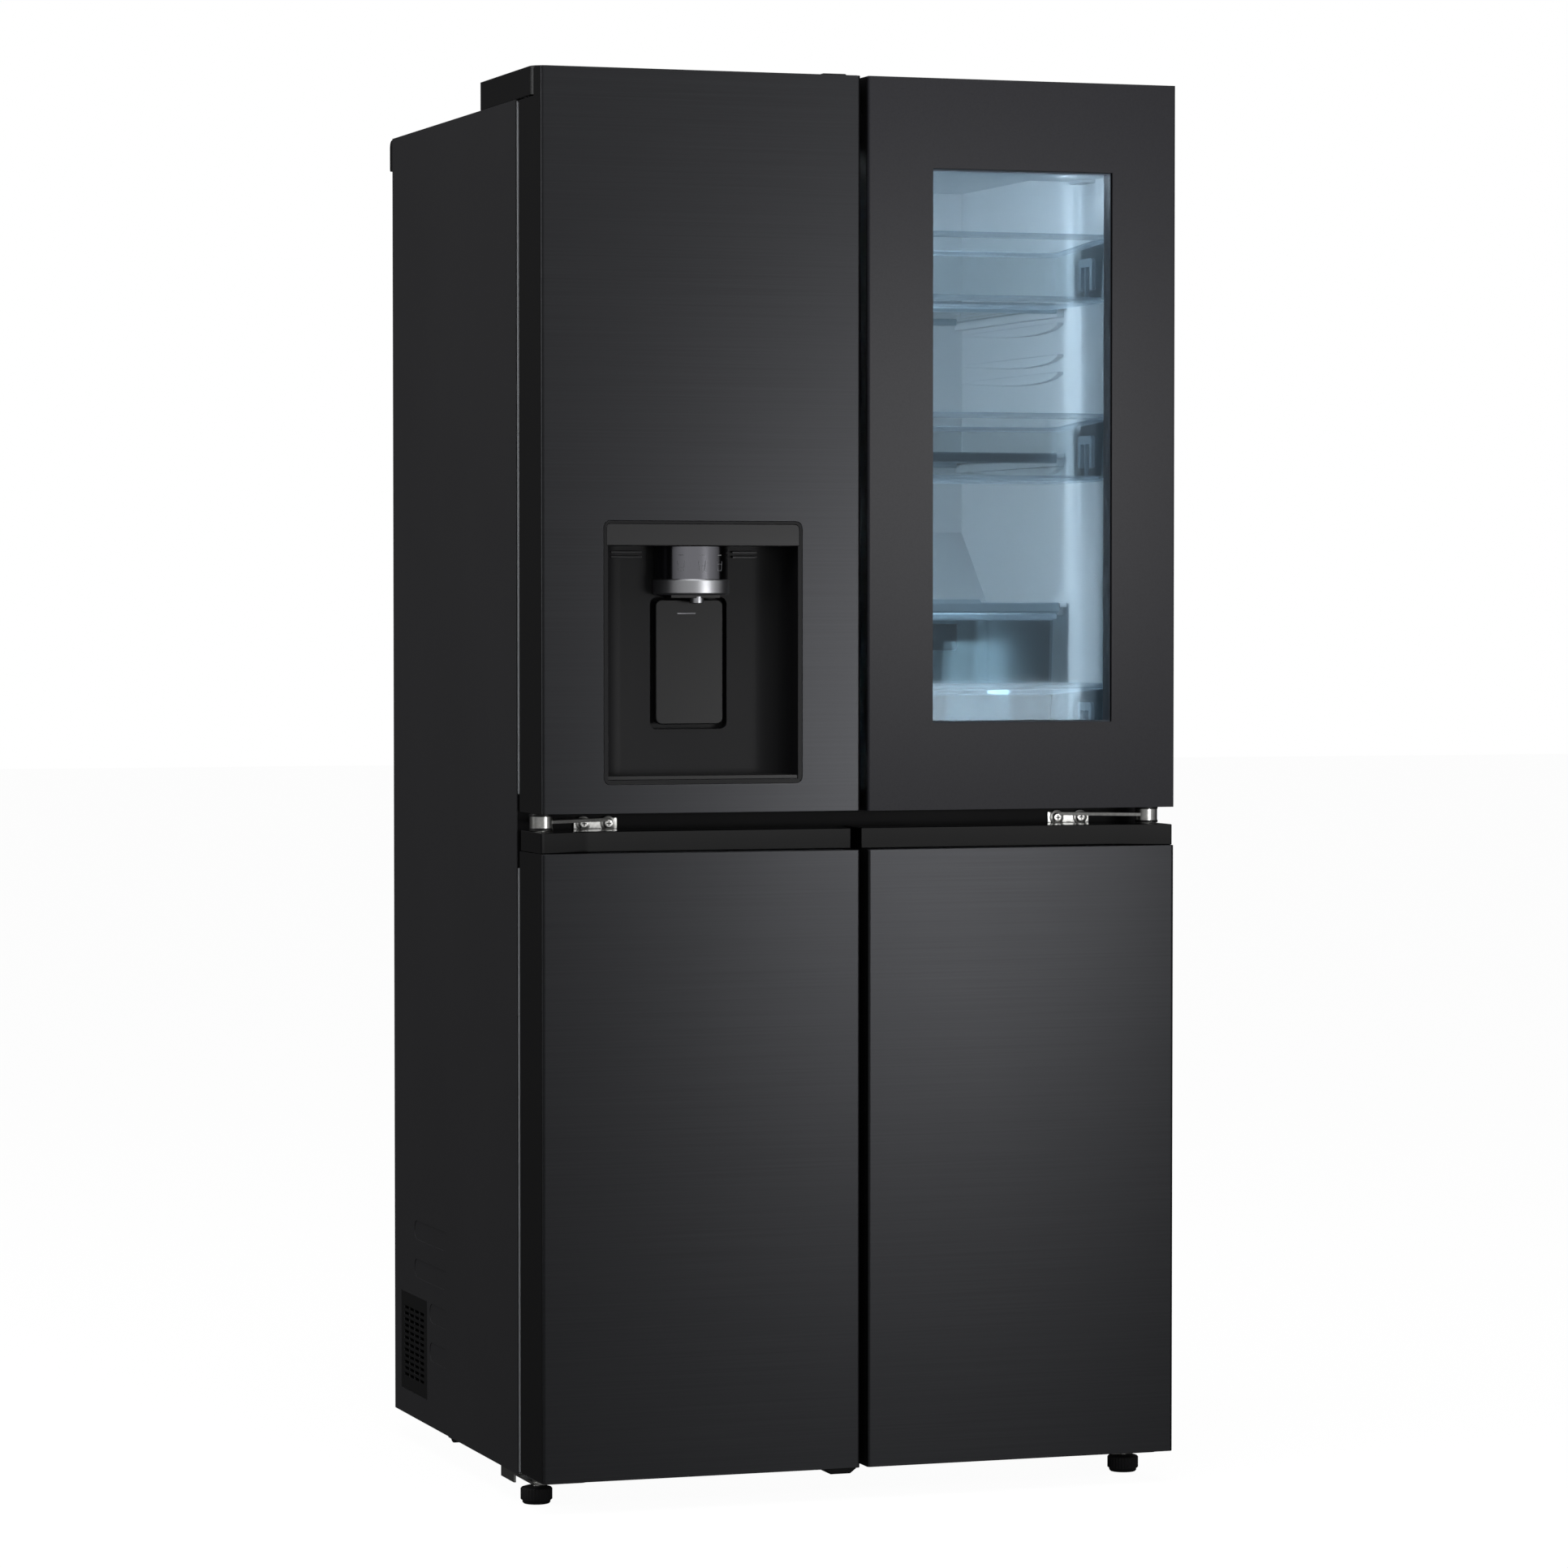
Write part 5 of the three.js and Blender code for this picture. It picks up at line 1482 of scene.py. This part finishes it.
class REFRIGERATOR_OT_feet(bpy.types.Operator):
    """Build the feet, the rollers and the base plate"""

    bl_idname = "refrigerator.feet"
    bl_label = "Feet and rollers"
    bl_options = {"REGISTER", "UNDO"}

    def execute(self, context):
        """Runs this step."""
        build_feet()
        return {"FINISHED"}


class REFRIGERATOR_OT_stage(bpy.types.Operator):
    """Build the floor, the studio light and the camera"""

    bl_idname = "refrigerator.stage"
    bl_label = "Stage"
    bl_options = {"REGISTER", "UNDO"}

    def execute(self, context):
        """Runs this step."""
        build_floor()
        build_world()
        build_lights()
        build_camera()
        return {"FINISHED"}


STEPS = (
    REFRIGERATOR_OT_case, REFRIGERATOR_OT_back, REFRIGERATOR_OT_linings, REFRIGERATOR_OT_lamp,
    REFRIGERATOR_OT_shelves, REFRIGERATOR_OT_drawers, REFRIGERATOR_OT_steel_fronts,
    REFRIGERATOR_OT_inner_walls, REFRIGERATOR_OT_grips, REFRIGERATOR_OT_window_door,
    REFRIGERATOR_OT_door_bins, REFRIGERATOR_OT_dispenser, REFRIGERATOR_OT_hinges, REFRIGERATOR_OT_feet,
    REFRIGERATOR_OT_stage,
)


class REFRIGERATOR_PT_steps(bpy.types.Panel):
    """Lists the steps that build the refrigerator"""

    bl_idname = "REFRIGERATOR_PT_steps"
    bl_label = "Refrigerator"
    bl_space_type = "VIEW_3D"
    bl_region_type = "UI"
    bl_category = "Refrigerator"

    def draw(self, context):
        """Draws the settings and one button for each step."""
        for settings in ("refrigerator_finish", "refrigerator_inside", "refrigerator_stage"):
            group = getattr(context.scene, settings)
            for name in group.bl_rna.properties.keys():
                if name not in ("rna_type", "name"):
                    self.layout.prop(group, name)
        for step in STEPS:
            self.layout.operator(step.bl_idname)


CLASSES = (FinishSettings, InsideSettings, StageSettings, *STEPS, REFRIGERATOR_PT_steps)


def register():
    """Registers the classes and their settings on the scene."""
    for item in CLASSES:
        bpy.utils.register_class(item)
    bpy.types.Scene.refrigerator_finish = PointerProperty(type=FinishSettings)
    bpy.types.Scene.refrigerator_inside = PointerProperty(type=InsideSettings)
    bpy.types.Scene.refrigerator_stage = PointerProperty(type=StageSettings)


def unregister():
    """Removes the settings and the classes."""
    del bpy.types.Scene.refrigerator_stage
    del bpy.types.Scene.refrigerator_inside
    del bpy.types.Scene.refrigerator_finish
    for item in reversed(CLASSES):
        bpy.utils.unregister_class(item)


def main():
    """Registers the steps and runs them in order."""
    register()
    for step in STEPS:
        group, name = step.bl_idname.split(".")
        getattr(getattr(bpy.ops, group), name)()
    bpy.context.view_layer.update()


if __name__ == "__main__":
    main()
